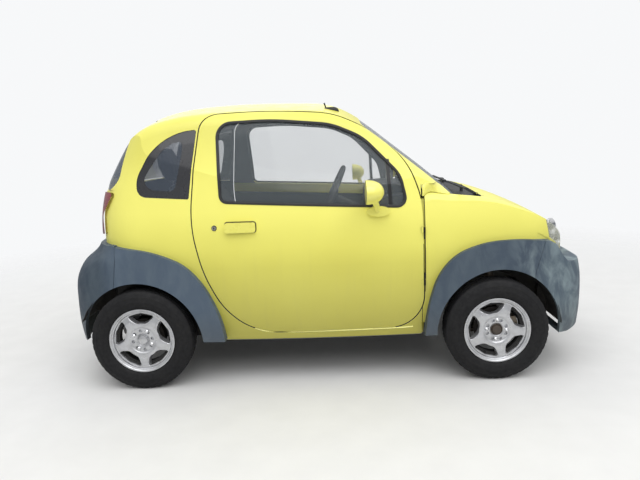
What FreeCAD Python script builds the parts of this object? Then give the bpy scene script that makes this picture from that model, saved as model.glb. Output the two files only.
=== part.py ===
import FreeCAD, Part
import math
import os
from FreeCAD import Vector

os.makedirs("parts", exist_ok=True)

# Frame: +X forward, +Y to the car's left, +Z up, origin on the ground at the
# middle of the car's box. All lengths in millimetres, all angles in degrees.

# Overall sizes
LENGTH = 2735.0
FLARE_WIDTH = 1475.0
WHEELBASE = 1800.0
FRONT_OVERHANG = 515.0
FRONT_TRACK = 1310.0
REAR_TRACK = 1300.0
X_NOSE = LENGTH / 2
X_TAIL = -LENGTH / 2
X_FRONT_AXLE = X_NOSE - FRONT_OVERHANG
X_REAR_AXLE = X_FRONT_AXLE - WHEELBASE

# Wheels and tyres
TYRE_RADIUS = 260.5
SPOKE_COUNT = 5
STUD_COUNT = 8
STUD_CIRCLE_RADIUS = 50.0
STUD_HOLE_RADIUS = 7.0
HUB_RADIUS = 27.0

# Body panels
DOOR_THICKNESS = 60.0
ROOF_THICKNESS = 32.0
WING_THICKNESS = 22.0
GLASS_THICKNESS = 5.0
GLASS_INSET = 4.0
GLASS_CLEARANCE = 0.3
DOOR_GAP = 6.0
DOOR_DRAFT = 0.2
DRAFT_PLANE_Y = 620.0
PANEL_GAP = 5.0
ARCH_RADIUS = 318.0


def vec(x, y, z):
    return Vector(x, y, z)


def save(shape, node):
    """Write one node's solid or solids as a STEP file."""
    if not shape.isValid():
        print("not valid:", node)
    shape.exportStep("parts/" + node + ".step")
    print(node, len(shape.Solids), "solids,", len(shape.Faces), "faces,", round(shape.Volume / 1e3), "cm3")


def box(x0, x1, y0, y1, z0, z1):
    return Part.makeBox(x1 - x0, y1 - y0, z1 - z0, vec(x0, y0, z0))


FAR = 1700.0
LEFT_HALF = box(-FAR, FAR, 0, 900, 0, FAR)


def both_sides(shape):
    """The shape and its mirror image about the car's centre plane."""
    return Part.makeCompound([shape, mirrored(shape)])


def mirrored(shape):
    return shape.mirror(vec(0, 0, 0), vec(0, 1, 0))


def whole(left_half):
    """The left half and its mirror image as one solid."""
    return left_half.fuse(mirrored(left_half))


MADE = {}


def once(key, make):
    """Make a form the first time it is asked for, then give out the same one."""
    if key not in MADE:
        MADE[key] = make()
    return MADE[key]


def outline(points, plane="xz", level=0.0):
    """Closed wire of lines with rounded corners. Each point is (a, b, corner radius)."""
    if plane == "xz":
        corners = [vec(a, level, b) for a, b, r in points]
    elif plane == "xy":
        corners = [vec(a, b, level) for a, b, r in points]
    else:
        corners = [vec(level, a, b) for a, b, r in points]
    count = len(points)
    ends = []
    for i in range(count):
        before, corner, after = corners[i - 1], corners[i], corners[(i + 1) % count]
        radius = points[i][2]
        if radius <= 0:
            ends.append((corner, corner, None))
            continue
        to_before = (before - corner).normalize()
        to_after = (after - corner).normalize()
        half = to_before.getAngle(to_after) / 2
        reach = radius / math.tan(half)
        middle = (to_before + to_after).normalize()
        centre = corner + middle * (radius / math.sin(half))
        ends.append((corner + to_before * reach, corner + to_after * reach, centre - middle * radius))
    edges = []
    for i in range(count):
        start, end, through = ends[i]
        if through is not None:
            edges.append(Part.Arc(start, through, end).toShape())
        following = ends[(i + 1) % count][0]
        if (end - following).Length > 1e-4:
            edges.append(Part.makeLine(end, following))
    return Part.Wire(edges)


def prism(points, plane, low, high):
    """Rounded outline extruded from low to high along the plane's normal."""
    wire = outline(points, plane, low)
    along = {"xz": vec(0, high - low, 0), "xy": vec(0, 0, high - low), "yz": vec(high - low, 0, 0)}[plane]
    return Part.Face(wire).extrude(along)


def cylinder_y(x, z, radius, y0, y1):
    return Part.makeCylinder(radius, y1 - y0, vec(x, y0, z), vec(0, 1, 0))


def fuse_all(shapes):
    result = shapes[0]
    for shape in shapes[1:]:
        result = result.fuse(shape)
    return result


# Lower body: horizontal rings, each of a nose arc, two front corner arcs, two
# side arcs, two rear corner arcs and a tail arc, all tangent.
# Columns: z, x of nose, x of tail, half width, nose radius, tail radius, side
# radius, front corner radius, rear corner radius
BODY_RINGS = [
    (232, 1243, -1182, 659, 2600, 2200, 9000, 330, 260),
    (400, 1275, -1200, 694, 2600, 2200, 8000, 330, 270),
    (600, 1305, -1215, 705, 2400, 2200, 7500, 330, 280),
    (790, 1285, -1225, 699, 2200, 2200, 7000, 320, 280),
    (960, 1180, -1212, 676, 2000, 2200, 6500, 300, 280),
    (1200, 1020, -1120, 640, 1900, 2000, 6500, 280, 270),
    (1480, 800, -960, 600, 1800, 1900, 6500, 260, 260),
]


def tangent_centre(c1, r1, c2, r2, radius, ahead):
    """Centre of a circle that touches two larger circles from inside."""
    d1 = r1 - radius
    d2 = r2 - radius
    dx = c2[0] - c1[0]
    dy = c2[1] - c1[1]
    gap = math.hypot(dx, dy)
    along = (d1 * d1 - d2 * d2 + gap * gap) / (2 * gap)
    off = math.sqrt(d1 * d1 - along * along)
    mx = c1[0] + along * dx / gap
    my = c1[1] + along * dy / gap
    choices = [(mx - off * dy / gap, my + off * dx / gap), (mx + off * dy / gap, my - off * dx / gap)]
    return max(choices, key=lambda p: (p[0] if ahead else -p[0]) + p[1])


def on_circle(centre, radius, toward):
    length = math.hypot(toward[0] - centre[0], toward[1] - centre[1])
    return (centre[0] + radius * (toward[0] - centre[0]) / length,
            centre[1] + radius * (toward[1] - centre[1]) / length)


def ring(z, nose, tail, half, r_nose, r_tail, r_side, r_front, r_rear, x_widest=-40.0):
    """One closed horizontal section of the body."""
    c_nose = (nose - r_nose, 0.0)
    c_tail = (tail + r_tail, 0.0)
    c_side = (x_widest, half - r_side)
    c_front = tangent_centre(c_nose, r_nose, c_side, r_side, r_front, True)
    c_rear = tangent_centre(c_tail, r_tail, c_side, r_side, r_rear, False)
    a = on_circle(c_nose, r_nose, c_front)
    b = on_circle(c_side, r_side, c_front)
    c = on_circle(c_side, r_side, c_rear)
    d = on_circle(c_tail, r_tail, c_rear)

    def middle(centre, radius, p, q):
        return on_circle(centre, radius, ((p[0] + q[0]) / 2, (p[1] + q[1]) / 2))

    front_mid = middle(c_front, r_front, a, b)
    side_mid = middle(c_side, r_side, b, c)
    rear_mid = middle(c_rear, r_rear, c, d)

    def arc(p, q, r):
        return Part.Arc(vec(p[0], p[1], z), vec(q[0], q[1], z), vec(r[0], r[1], z)).toShape()

    def right(p):
        return (p[0], -p[1])

    return Part.Wire([
        arc(right(a), (nose, 0), a), arc(a, front_mid, b), arc(b, side_mid, c), arc(c, rear_mid, d),
        arc(d, (tail, 0), right(d)), arc(right(d), right(rear_mid), right(c)),
        arc(right(c), right(side_mid), right(b)), arc(right(b), right(front_mid), right(a)),
    ])


def ring_loft(rows, inset):
    """Left half of a loft of rings, each drawn in by the inset."""
    wires = [ring(z, nose - inset, tail + inset, half - inset, r_nose - inset, r_tail - inset, r_side - inset,
                  r_front - inset, r_rear - inset)
             for z, nose, tail, half, r_nose, r_tail, r_side, r_front, r_rear in rows]
    return Part.makeLoft(wires, True, False).common(LEFT_HALF)


def body_rings(inset=0.0):
    """Left half of the body form, from the sills to above the roof."""
    return once(("rings", inset), lambda: ring_loft(BODY_RINGS, inset))


# Upper body: upright cross-sections, each of a base line, two leaning side
# lines, two shoulder arcs and a crown arc. The lean is measured from upright.
# Columns: x, z of the crown, half width at the belt, crown radius, shoulder radius
CABIN_SECTIONS = [
    (940, 766, 655, 3200, 90),
    (760, 912, 668, 3200, 90),
    (560, 1072, 678, 3000, 90),
    (380, 1217, 683, 2800, 92),
    (250, 1320, 686, 2600, 95),
    (160, 1380, 688, 2400, 98),
    (60, 1424, 690, 2200, 100),
    (-120, 1445, 692, 2100, 100),
    (-340, 1450, 691, 2100, 100),
    (-560, 1446, 687, 2100, 100),
    (-740, 1430, 681, 2100, 100),
    (-860, 1402, 675, 2100, 100),
    (-950, 1352, 670, 2300, 100),
    (-1040, 1238, 664, 2600, 100),
    (-1130, 1100, 657, 2800, 100),
    (-1240, 931, 648, 3000, 100),
    (-1310, 824, 642, 3000, 100),
]
BELT_Z = 930.0
CABIN_LEAN = 18.5
CABIN_BASE_Z = 560.0
# The bonnet and wings. Columns as above.
BONNET_SECTIONS = [
    (430, 992, 690, 8000, 85),
    (600, 974, 688, 8000, 85),
    (760, 951, 682, 8000, 88),
    (900, 919, 674, 8000, 90),
    (1020, 872, 664, 8000, 92),
    (1110, 827, 654, 8000, 95),
    (1190, 772, 644, 8000, 100),
    (1250, 706, 635, 8000, 100),
    (1300, 620, 625, 8000, 100),
    (1345, 500, 610, 8000, 100),
]
BONNET_BELT_Z = 760.0
BONNET_LEAN = 9.0
BONNET_BASE_Z = 300.0


def section(x, crown_z, half, r_crown, r_shoulder, belt_z, lean, base_z):
    """One closed upright section of the cabin or the bonnet."""
    slope = math.radians(lean)
    direction = (-math.sin(slope), math.cos(slope))
    inward = (-direction[1], direction[0])
    crown_centre = crown_z - r_crown
    px = half + inward[0] * r_shoulder
    pz = belt_z + inward[1] * r_shoulder
    reach = r_crown - r_shoulder
    b = px * direction[0] + (pz - crown_centre) * direction[1]
    c = px * px + (pz - crown_centre) ** 2 - reach * reach
    t = -b + math.sqrt(b * b - c)
    cy = px + t * direction[0]
    cz = pz + t * direction[1]
    side_y = cy - inward[0] * r_shoulder
    side_z = cz - inward[1] * r_shoulder
    length = math.hypot(cy, cz - crown_centre)
    top_y = cy * r_crown / length
    top_z = crown_centre + (cz - crown_centre) * r_crown / length
    mid_dir = (side_y + top_y - 2 * cy, side_z + top_z - 2 * cz)
    mid_len = math.hypot(*mid_dir)
    mid_y = cy + mid_dir[0] / mid_len * r_shoulder
    mid_z = cz + mid_dir[1] / mid_len * r_shoulder
    base_y = half + (belt_z - base_z) * math.tan(slope)

    def at(y, z):
        return vec(x, y, z)

    return Part.Wire([
        Part.makeLine(at(-base_y, base_z), at(base_y, base_z)),
        Part.makeLine(at(base_y, base_z), at(side_y, side_z)),
        Part.Arc(at(side_y, side_z), at(mid_y, mid_z), at(top_y, top_z)).toShape(),
        Part.Arc(at(top_y, top_z), at(0, crown_z), at(-top_y, top_z)).toShape(),
        Part.Arc(at(-top_y, top_z), at(-mid_y, mid_z), at(-side_y, side_z)).toShape(),
        Part.makeLine(at(-side_y, side_z), at(-base_y, base_z)),
    ])


def crown_drop(rows, x):
    """Fall of the crown line over 1 mm of length, for drawing sloped roofs in."""
    for (x1, z1), (x2, z2) in zip([r[:2] for r in rows], [r[:2] for r in rows][1:]):
        if min(x1, x2) <= x <= max(x1, x2):
            return (z1 - z2) / (x1 - x2)
    return 0.0


def upper_loft(rows, belt_z, lean, base_z, inset_side=0.0, inset_top=0.0):
    """Loft of upright sections, drawn in at the sides and the top."""
    wires = []
    for x, crown_z, half, r_crown, r_shoulder in rows:
        slope = crown_drop(rows, x)
        drop = inset_top * math.sqrt(1 + slope * slope)
        wires.append(section(x, crown_z - drop, half - inset_side / math.cos(math.radians(lean)), r_crown - drop,
                             r_shoulder - min(inset_side, r_shoulder * 0.6), belt_z, lean, base_z))
    return Part.makeLoft(wires, True, False)


def cabin_block(inset_side=0.0, inset_top=0.0):
    """Left half of the cabin form."""
    def make():
        loft = upper_loft(CABIN_SECTIONS, BELT_Z, CABIN_LEAN, CABIN_BASE_Z, inset_side, inset_top)
        return loft.common(body_rings(inset_side))
    return once(("cabin", inset_side, inset_top), make)


def bonnet_block(inset=0.0):
    """Left half of the form under bonnet and wings."""
    def make():
        loft = upper_loft(BONNET_SECTIONS, BONNET_BELT_Z, BONNET_LEAN, BONNET_BASE_Z, inset, inset)
        return loft.common(body_rings(inset))
    return once(("bonnet", inset), make)


def lower_block(inset, x_front, top_z=940.0):
    """Left half of the lower body, up to just under the belt."""
    return body_rings(inset).common(box(-FAR, x_front, 0, 900, 0, top_z))


# Side outlines in X and Z, with corner radii
DOOR_OUTLINE = [
    (-614, 1400, 110), (-260, 1413, 2400), (60, 1385, 440), (300, 1275, 390), (410, 1130, 480), (478, 930, 480),
    (478, 292, 155), (-288, 287, 320), (-410, 327, 290), (-512, 426, 370), (-597, 592, 750), (-654, 850, 780),
]
DOOR_WINDOW = [(-526, 1338, 75), (-250, 1346, 1400), (50, 1315, 340), (205, 1247, 290), (385, 1057, 150),
               (420, 894, 45), (-511, 946, 38)]
QUARTER_WINDOW = [(-622, 1309, 12), (-722, 1302, 300), (-850, 1222, 300), (-938, 1075, 130), (-935, 984, 50),
                  (-668, 967, 10)]
WING_OUTLINE = [(485, 150, 0), (485, 1000.7, 0), (500, 1000.7, 0), (640, 1015.7, 0), (700, 1100, 0),
                (1400, 1100, 0), (1400, 150, 0)]
HEADLAMP_OUTLINE = [(1112, 900, 0), (1150, 700, 40), (1225, 600, 30), (1420, 560, 0), (1420, 900, 0)]
FLARE_FRONT = [(524, 252, 0), (528, 340, 0), (575, 560, 200), (740, 712, 320), (1076, 735, 0), (1031, 567, 0),
               (1010, 252, 0)]
FLARE_REAR = [(-512, 248, 0), (-520, 330, 0), (-600, 600, 220), (-800, 745, 300), (-1033, 768, 0),
              (-1033, 248, 0)]
FRONT_BUMPER_OUTLINE = [(1077, 733, 0), (1190, 668, 60), (1230, 596, 40), (1450, 560, 0), (1450, 150, 0),
                        (1011, 150, 0), (1032, 567, 0)]
REAR_BUMPER_OUTLINE = [(-1034, 768, 0), (-1190, 716, 60), (-1270, 652, 60), (-1450, 640, 0), (-1450, 150, 0),
                       (-1034, 150, 0)]

# Plan outlines in X and Y, over the full width
WINDSCREEN_PLAN = [(205, -500, 70), (205, 500, 70), (724, 600, 40), (724, -600, 40)]
BONNET_PLAN = [(806, -572, 60), (806, 572, 60), (1130, 500, 200), (1420, 300, 0), (1420, -300, 0),
               (1130, -500, 200)]
BONNET_FRONT_Z = 668.0
COWL_PLAN = [(560, -592, 0), (560, 592, 0), (800, 578, 30), (800, -578, 30)]

# Rear outlines in Y and Z
HATCH_VIEW = [(-480, 1365, 110), (480, 1365, 110), (560, 1012, 70), (-560, 1012, 70)]
TAIL_LAMP_OUTLINE = [(-1062, 1006, 15), (-1142, 890, 60), (-1132, 790, 12), (-1300, 785, 0), (-1300, 1006, 0)]

TAIL_LAMP_INNER_Y = 480.0
TAIL_LAMP_SEAM = 0.5
HEADLAMP_INNER_Y = 400.0
HEADLAMP_DEPTH = 55.0
LENS_INNER = 4.0
BOWL_RIM = 8.0
BOWL_POCKET_DEPTH = 45.0
LAMP_GAP = 2.0
BUMPER_THICKNESS = 28.0
SHELF_THICKNESS = 14.0
SHELF_LOW_Z = 520.0
FLARE_INNER_Y = 560.0
COWL_DROP = 14.0
COWL_REAR_X = 620.0
WIPER_PIVOTS_Y = (190.0, -330.0)
WIPER_PIVOT_X = 752.0
WIPER_ELBOW_Z = 962.0
WIPER_BLADE_X = 702.0
WIPER_BLADE_Z = 975.0
WIPER_REACH = 130.0
WIPER_LENGTH = 400.0
BULKHEAD_X = 590.0
BULKHEAD_THICKNESS = 20.0
POST_X = 500.0
SILL_SEAM_X = 482.0
SILL_TOP_Z = 1001.0
COWL_X = 712.0
CABIN_REAR_X = -1150.0
FRONT_ARCH_INNER_Y = 430.0
REAR_ARCH_INNER_Y = 562.0
REAR_BEAM_RADIUS = 28.0
BEAM_CLEARANCE = 6.0
SILL_LOW_Z = 232.0
LINER_THICKNESS = 5.0
BAR_WIDTH = 16.0
BAR_TOP_X = 305.0
BAR_FOOT_X = 331.0
BAR_INNER_Y = 560.0
SEAT_GAP = 0.3

# Plastic wrap of bumpers and arch flares. Columns as in BODY_RINGS
WRAP_RINGS = [
    (215, 1342, -1344, 723, 3000, 3000, 9000, 350, 330),
    (330, 1361, -1362, 735, 3000, 3000, 9000, 355, 340),
    (470, X_NOSE, X_TAIL, FLARE_WIDTH / 2, 3000, 3000, 9000, 360, 340),
    (610, 1350, -1354, 732, 2800, 3000, 9000, 350, 330),
    (720, 1318, -1322, 720, 2600, 2800, 9000, 340, 320),
    (790, 1285, -1295, 709, 2400, 2600, 9000, 330, 310),
]


def wrap_block(inset=0.0):
    """Left half of the form that bumpers and flares share."""
    return ring_loft(WRAP_RINGS, inset)


def tapered_cutter(points, growth=0.0):
    """Outline cut through the left side, narrowing inboard so that the door can swing out."""
    wires = []
    for y in (800.0, 400.0):
        wires.append(outline(points, "xz", y).makeOffset2D(growth + DOOR_DRAFT * (y - DRAFT_PLANE_Y), 0))
    return Part.makeLoft(wires, True, True)


def grown(points, growth, plane="xz", low=380.0, high=900.0):
    """Prism of an outline drawn in or out by a growth."""
    wire = outline(points, plane, low)
    if growth:
        wire = wire.makeOffset2D(growth, 0)
    along = {"xz": vec(0, high - low, 0), "xy": vec(0, 0, high - low), "yz": vec(high - low, 0, 0)}[plane]
    return Part.Face(wire).extrude(along)


def arch(x_axle, inner_y, growth=0.0):
    return cylinder_y(x_axle, TYRE_RADIUS, ARCH_RADIUS + growth, inner_y - growth, 850.0)


# Forms, all left halves
arches = Part.makeCompound([arch(X_FRONT_AXLE, FRONT_ARCH_INNER_Y), arch(X_REAR_AXLE, REAR_ARCH_INNER_Y)])
liners = Part.makeCompound([arch(X_FRONT_AXLE, FRONT_ARCH_INNER_Y, LINER_THICKNESS),
                            arch(X_REAR_AXLE, REAR_ARCH_INNER_Y, LINER_THICKNESS)])
cabin_form = cabin_block()
bonnet_form = bonnet_block()
bonnet_inner = bonnet_block(WING_THICKNESS)
post_form = lower_block(WING_THICKNESS + SEAT_GAP, BULKHEAD_X + BULKHEAD_THICKNESS, 930.0)
post_form = post_form.common(bonnet_block(WING_THICKNESS + SEAT_GAP)).fuse(
    lower_block(WING_THICKNESS + SEAT_GAP, BULKHEAD_X + BULKHEAD_THICKNESS, BONNET_BASE_Z))
body_form = lower_block(0.0, POST_X).fuse(post_form)
pillar_limit = prism([(-FAR, 0, 0), (POST_X, 0, 0), (POST_X, 1001, 0), (640, 1016, 0), (COWL_X, 900, 0),
                      (COWL_X, FAR, 0), (-FAR, FAR, 0)], "xz", 0, 900)
pillar_form = cabin_form.common(pillar_limit)
body_form = body_form.fuse(pillar_form)
cabin_space = lower_block(DOOR_THICKNESS, BULKHEAD_X).fuse(cabin_block(DOOR_THICKNESS, ROOF_THICKNESS)).common(
    box(CABIN_REAR_X, COWL_X - 40, -10, 900, 0, FAR))
cabin_space = cabin_space.cut(box(BULKHEAD_X, 800, -10, 900, 0, 905)).cut(liners)

# Hinges: pin and leaf on the fixed side, knuckle on the moving side
# Columns: foot of the leaf, top of the leaf and pin
DOOR_HINGES = [(470, 530), (735, 795)]
DOOR_AXIS_X = 494.5
DOOR_AXIS_Y = 689.0
DOOR_LEAF = [(487.1, 640, 0), (489.5, 640, 0), (495.6, 688, 0), (493.4, 688, 0)]
PIN_RADIUS = 2.5
PIN_BORE = 2.55
KNUCKLE_RADIUS = 4.5
KNUCKLE_CLEARANCE = 2.0
door_pins = []
door_knuckles = []
door_notches = []
leaf_slots = []
door_bores = []
for low, high in DOOR_HINGES:
    middle = (low + high) / 2
    at_foot = vec(DOOR_AXIS_X, DOOR_AXIS_Y, low)
    at_middle = vec(DOOR_AXIS_X, DOOR_AXIS_Y, middle + 1)
    door_pins.append(Part.makeCylinder(PIN_RADIUS, high - low, at_foot).fuse(
        prism(DOOR_LEAF, "xy", low, middle)))
    door_knuckles.append(Part.makeCylinder(KNUCKLE_RADIUS, high - middle - 1, at_middle).fuse(
        box(DOOR_AXIS_X - 16, DOOR_AXIS_X - 2, DOOR_AXIS_Y - 9, DOOR_AXIS_Y - 2, middle + 1, high)))
    door_bores.append(Part.makeCylinder(PIN_BORE, high - low + 2, at_foot))
    door_notches.append(Part.makeCylinder(KNUCKLE_RADIUS + KNUCKLE_CLEARANCE, high - low + 6,
                                          vec(DOOR_AXIS_X, DOOR_AXIS_Y, low - 3)))
    leaf_slots.append(grown(DOOR_LEAF, 1.0, "xy", low - 1, middle + 1))

# Body shell and what is cut from it
door_opening = tapered_cutter(DOOR_OUTLINE, DOOR_GAP)
shell = body_form.cut(cabin_space)
door = shell.common(tapered_cutter(DOOR_OUTLINE))
sill_strip = box(SILL_SEAM_X, POST_X + 1, 0, 900, 0, SILL_TOP_Z).cut(post_form)
shell = shell.cut(door_opening).cut(arches).cut(sill_strip)
shell = fuse_all([shell] + door_pins)
shell = shell.cut(grown(QUARTER_WINDOW, 0)).cut(grown(WINDSCREEN_PLAN, 0, "xy", 860, FAR))
shell = shell.cut(grown(HATCH_VIEW, 0, "yz", -1400, -850))
tail_lamp = shell.common(grown(TAIL_LAMP_OUTLINE, -TAIL_LAMP_SEAM, "xz", TAIL_LAMP_INNER_Y + TAIL_LAMP_SEAM, 900))
shell = shell.cut(grown(TAIL_LAMP_OUTLINE, 0, "xz", TAIL_LAMP_INNER_Y, 900))
HATCH_AXIS_X = -934.0
HATCH_AXIS_Z = 1362.0
HATCH_HINGE_Y = 110.0
HATCH_HINGE_LENGTH = 34.0
HATCH_LEAF_WIDTH = 12.0
HATCH_KNUCKLE_Y = HATCH_HINGE_Y + HATCH_LEAF_WIDTH + 2.0
JACK_POINTS_X = (330.0, -450.0)
JACK_PAD_HALF_LENGTH = 35.0
JACK_PAD_Y = (606.0, 636.0)
JACK_PAD_LOW_Z = 228.0
hatch_pin = cylinder_y(HATCH_AXIS_X, HATCH_AXIS_Z, PIN_RADIUS, HATCH_HINGE_Y, HATCH_HINGE_Y + HATCH_HINGE_LENGTH)
hatch_leaf = box(HATCH_AXIS_X - 2, -895, HATCH_HINGE_Y, HATCH_HINGE_Y + HATCH_LEAF_WIDTH,
                 HATCH_AXIS_Z - 1, HATCH_AXIS_Z + 5)
beam_passage = cylinder_y(X_REAR_AXLE, TYRE_RADIUS, REAR_BEAM_RADIUS + BEAM_CLEARANCE, 0, REAR_TRACK / 2)
shell = shell.cut(beam_passage)
jack_pads = [box(x - JACK_PAD_HALF_LENGTH, x + JACK_PAD_HALF_LENGTH, *JACK_PAD_Y, JACK_PAD_LOW_Z, SILL_LOW_Z + 1)
             for x in JACK_POINTS_X]
shell = fuse_all([shell, hatch_pin, hatch_leaf] + jack_pads)
save(whole(shell), "body_shell")
save(both_sides(tail_lamp), "tail_lamps")

# Glass
glass_skin = cabin_block(GLASS_INSET, GLASS_INSET).cut(
    cabin_block(GLASS_INSET + GLASS_THICKNESS, GLASS_INSET + GLASS_THICKNESS))
bar_prism = prism([(BAR_TOP_X, 1300, 0), (BAR_TOP_X + BAR_WIDTH, 1300, 0), (BAR_FOOT_X + BAR_WIDTH, 800, 0),
                   (BAR_FOOT_X, 800, 0)], "xz", 380, 900)
window_bar = bar_prism.common(cabin_block(GLASS_INSET, GLASS_INSET)).common(
    box(200, 500, BAR_INNER_Y, 900, 800, 1300))
door = door.cut(grown(DOOR_WINDOW, 0).cut(window_bar)).cut(grown(WINDSCREEN_PLAN, DOOR_GAP, "xy", 860, FAR))
door = fuse_all([door.cut(Part.makeCompound(door_bores))] +
                [k.cut(Part.makeCompound(door_bores)) for k in door_knuckles])
door_glass = glass_skin.common(grown(DOOR_WINDOW, -GLASS_CLEARANCE)).cut(bar_prism)
windscreen = glass_skin.common(grown(WINDSCREEN_PLAN, -GLASS_CLEARANCE, "xy", 860, FAR))
quarter_glass = glass_skin.common(grown(QUARTER_WINDOW, -GLASS_CLEARANCE))
hatch_glass = glass_skin.common(grown(HATCH_VIEW, -PANEL_GAP, "yz", -1400, -850))
hatch_knuckle = cylinder_y(HATCH_AXIS_X, HATCH_AXIS_Z, KNUCKLE_RADIUS, HATCH_KNUCKLE_Y,
                           HATCH_HINGE_Y + HATCH_HINGE_LENGTH)
hatch_arm = box(HATCH_AXIS_X - 14, HATCH_AXIS_X - 3, HATCH_KNUCKLE_Y, HATCH_HINGE_Y + HATCH_HINGE_LENGTH,
                1340, 1362)
hatch_glass = fuse_all([hatch_glass, hatch_arm, hatch_knuckle]).cut(
    cylinder_y(HATCH_AXIS_X, HATCH_AXIS_Z, PIN_BORE, HATCH_HINGE_Y, HATCH_HINGE_Y + HATCH_HINGE_LENGTH + 2))
save(door, "door_left")
save(mirrored(door), "door_right")
save(door_glass, "door_glass_left")
save(mirrored(door_glass), "door_glass_right")
save(whole(windscreen), "windscreen")
save(both_sides(quarter_glass), "quarter_glass")
save(whole(hatch_glass), "hatch_glass")

# Bonnet, wings and headlamps
front_skin = bonnet_form.cut(bonnet_inner)
BONNET_AXIS_X = 803.0
BONNET_AXIS_Z = 930.0
BONNET_HINGE_Y = 430.0
BONNET_HINGE_LENGTH = 40.0
bonnet_opening = grown(BONNET_PLAN, PANEL_GAP, "xy", BONNET_FRONT_Z - PANEL_GAP, FAR)
bonnet = front_skin.common(grown(BONNET_PLAN, 0, "xy", BONNET_FRONT_Z, FAR))
bonnet_knuckle = cylinder_y(BONNET_AXIS_X, BONNET_AXIS_Z, KNUCKLE_RADIUS, BONNET_HINGE_Y + 16,
                            BONNET_HINGE_Y + BONNET_HINGE_LENGTH)
bonnet_bore = cylinder_y(BONNET_AXIS_X, BONNET_AXIS_Z, PIN_BORE, BONNET_HINGE_Y,
                         BONNET_HINGE_Y + BONNET_HINGE_LENGTH + 2)
bonnet = bonnet.cut(bonnet_bore).fuse(bonnet_knuckle.cut(bonnet_bore))
wing = front_skin.common(grown(WING_OUTLINE, 0)).cut(arches).cut(door_opening)
wing = wing.cut(bonnet_opening).cut(pillar_form)
wing = wing.cut(grown(COWL_PLAN, PANEL_GAP, "xy", 500, FAR))
wing = wing.cut(grown(HEADLAMP_OUTLINE, LAMP_GAP)).cut(grown(FRONT_BUMPER_OUTLINE, 1.0))
wing = wing.cut(Part.makeCompound(door_notches)).cut(Part.makeCompound(leaf_slots))
save(whole(bonnet), "bonnet")
save(both_sides(wing), "front_wings")

# Headlamps: a clear lens flush with the wing, with a bowl behind it
def lamp_zone(growth):
    """Space of a headlamp, drawn in or out by a growth."""
    zone = grown(HEADLAMP_OUTLINE, growth, "xz", HEADLAMP_INNER_Y - growth, 900)
    zone = zone.cut(grown(BONNET_PLAN, PANEL_GAP - growth, "xy", BONNET_FRONT_Z - PANEL_GAP, FAR))
    return zone.cut(grown(FRONT_BUMPER_OUTLINE, LAMP_GAP - growth, "xz", 0, 900))


lens = bonnet_form.cut(bonnet_block(LENS_INNER)).common(lamp_zone(0))
bowl = bonnet_block(LENS_INNER + SEAT_GAP)
pocket = bowl.cut(bonnet_block(BOWL_POCKET_DEPTH)).common(lamp_zone(-BOWL_RIM))
bowl = bowl.cut(bonnet_block(HEADLAMP_DEPTH)).common(lamp_zone(0)).cut(pocket)
save(both_sides(lens), "headlamp_lenses")
save(both_sides(bowl), "headlamp_bowls")

# Nose panel between the headlamps, and the cowl under the windscreen
nose_panel = front_skin.common(box(1100, 1400, 0, HEADLAMP_INNER_Y - SEAT_GAP, 540, BONNET_FRONT_Z - PANEL_GAP))
nose_panel = nose_panel.cut(grown(FRONT_BUMPER_OUTLINE, SEAT_GAP, "xz", -10, 900))
save(whole(nose_panel), "nose_panel")
cowl = bonnet_block(COWL_DROP).cut(bonnet_inner).common(grown(COWL_PLAN, 0, "xy", 500, FAR)).cut(
    cabin_block(GLASS_INSET - SEAT_GAP, GLASS_INSET - SEAT_GAP))
cowl = cowl.cut(box(0, COWL_REAR_X, -10, 900, 0, FAR))
bonnet_pin = cylinder_y(BONNET_AXIS_X, BONNET_AXIS_Z, PIN_RADIUS, BONNET_HINGE_Y,
                        BONNET_HINGE_Y + BONNET_HINGE_LENGTH)
bonnet_leaf = box(BONNET_AXIS_X - 12, BONNET_AXIS_X + 2, BONNET_HINGE_Y, BONNET_HINGE_Y + 12, 908, 931)
cowl = whole(fuse_all([cowl, bonnet_leaf, bonnet_pin]))
wipers = []
for pivot_y in WIPER_PIVOTS_Y:
    pivot = vec(WIPER_PIVOT_X, pivot_y, 905)
    elbow = vec(WIPER_PIVOT_X, pivot_y, WIPER_ELBOW_Z)
    blade_middle = vec(WIPER_BLADE_X, pivot_y - WIPER_REACH, WIPER_BLADE_Z)
    spindle = Part.makeCylinder(8, WIPER_ELBOW_Z - 905, pivot)
    arm = Part.makeCylinder(5, (blade_middle - elbow).Length, elbow, blade_middle - elbow)
    blade = Part.makeCylinder(6, WIPER_LENGTH, blade_middle - vec(0, WIPER_LENGTH / 2, 0), vec(0, 1, 0))
    wipers.append(fuse_all([spindle, arm, blade]))
    cowl = cowl.cut(Part.makeCylinder(8 + SEAT_GAP, 60, pivot))
save(cowl, "cowl_panel")
save(Part.makeCompound(wipers), "wipers")

# Bumpers and arch flares share one outer form
wrap = wrap_block()
wrap_wall = wrap.cut(wrap_block(BUMPER_THICKNESS))
body_solid = body_rings(-SEAT_GAP)


def bumper(points):
    """Outer wall with a shelf along its top edge that closes the gap to the body."""
    lowered = [(x, z - SHELF_THICKNESS, r) if z > 500 else (x, z, r) for x, z, r in points]
    shelf = wrap.cut(body_solid).common(grown(points, 0, "xz", 0, 900)).cut(grown(lowered, 0, "xz", -10, 910))
    shelf = shelf.common(box(-FAR, FAR, 0, 900, SHELF_LOW_Z, FAR))
    wall = wrap_wall.common(grown(points, 0, "xz", 0, 900)).cut(body_solid)
    return wall.fuse(shelf).cut(arches)


front_bumper = bumper(FRONT_BUMPER_OUTLINE)
rear_bumper = bumper(REAR_BUMPER_OUTLINE)
save(whole(front_bumper), "front_bumper")
save(whole(rear_bumper), "rear_bumper")
flare_wall = wrap.cut(body_solid)
flares = [flare_wall.common(grown(points, 0, "xz", FLARE_INNER_Y, 900)).cut(arches)
          for points in (FLARE_FRONT, FLARE_REAR)]
save(Part.makeCompound([both_sides(f) for f in flares]), "arch_flares")

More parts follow.
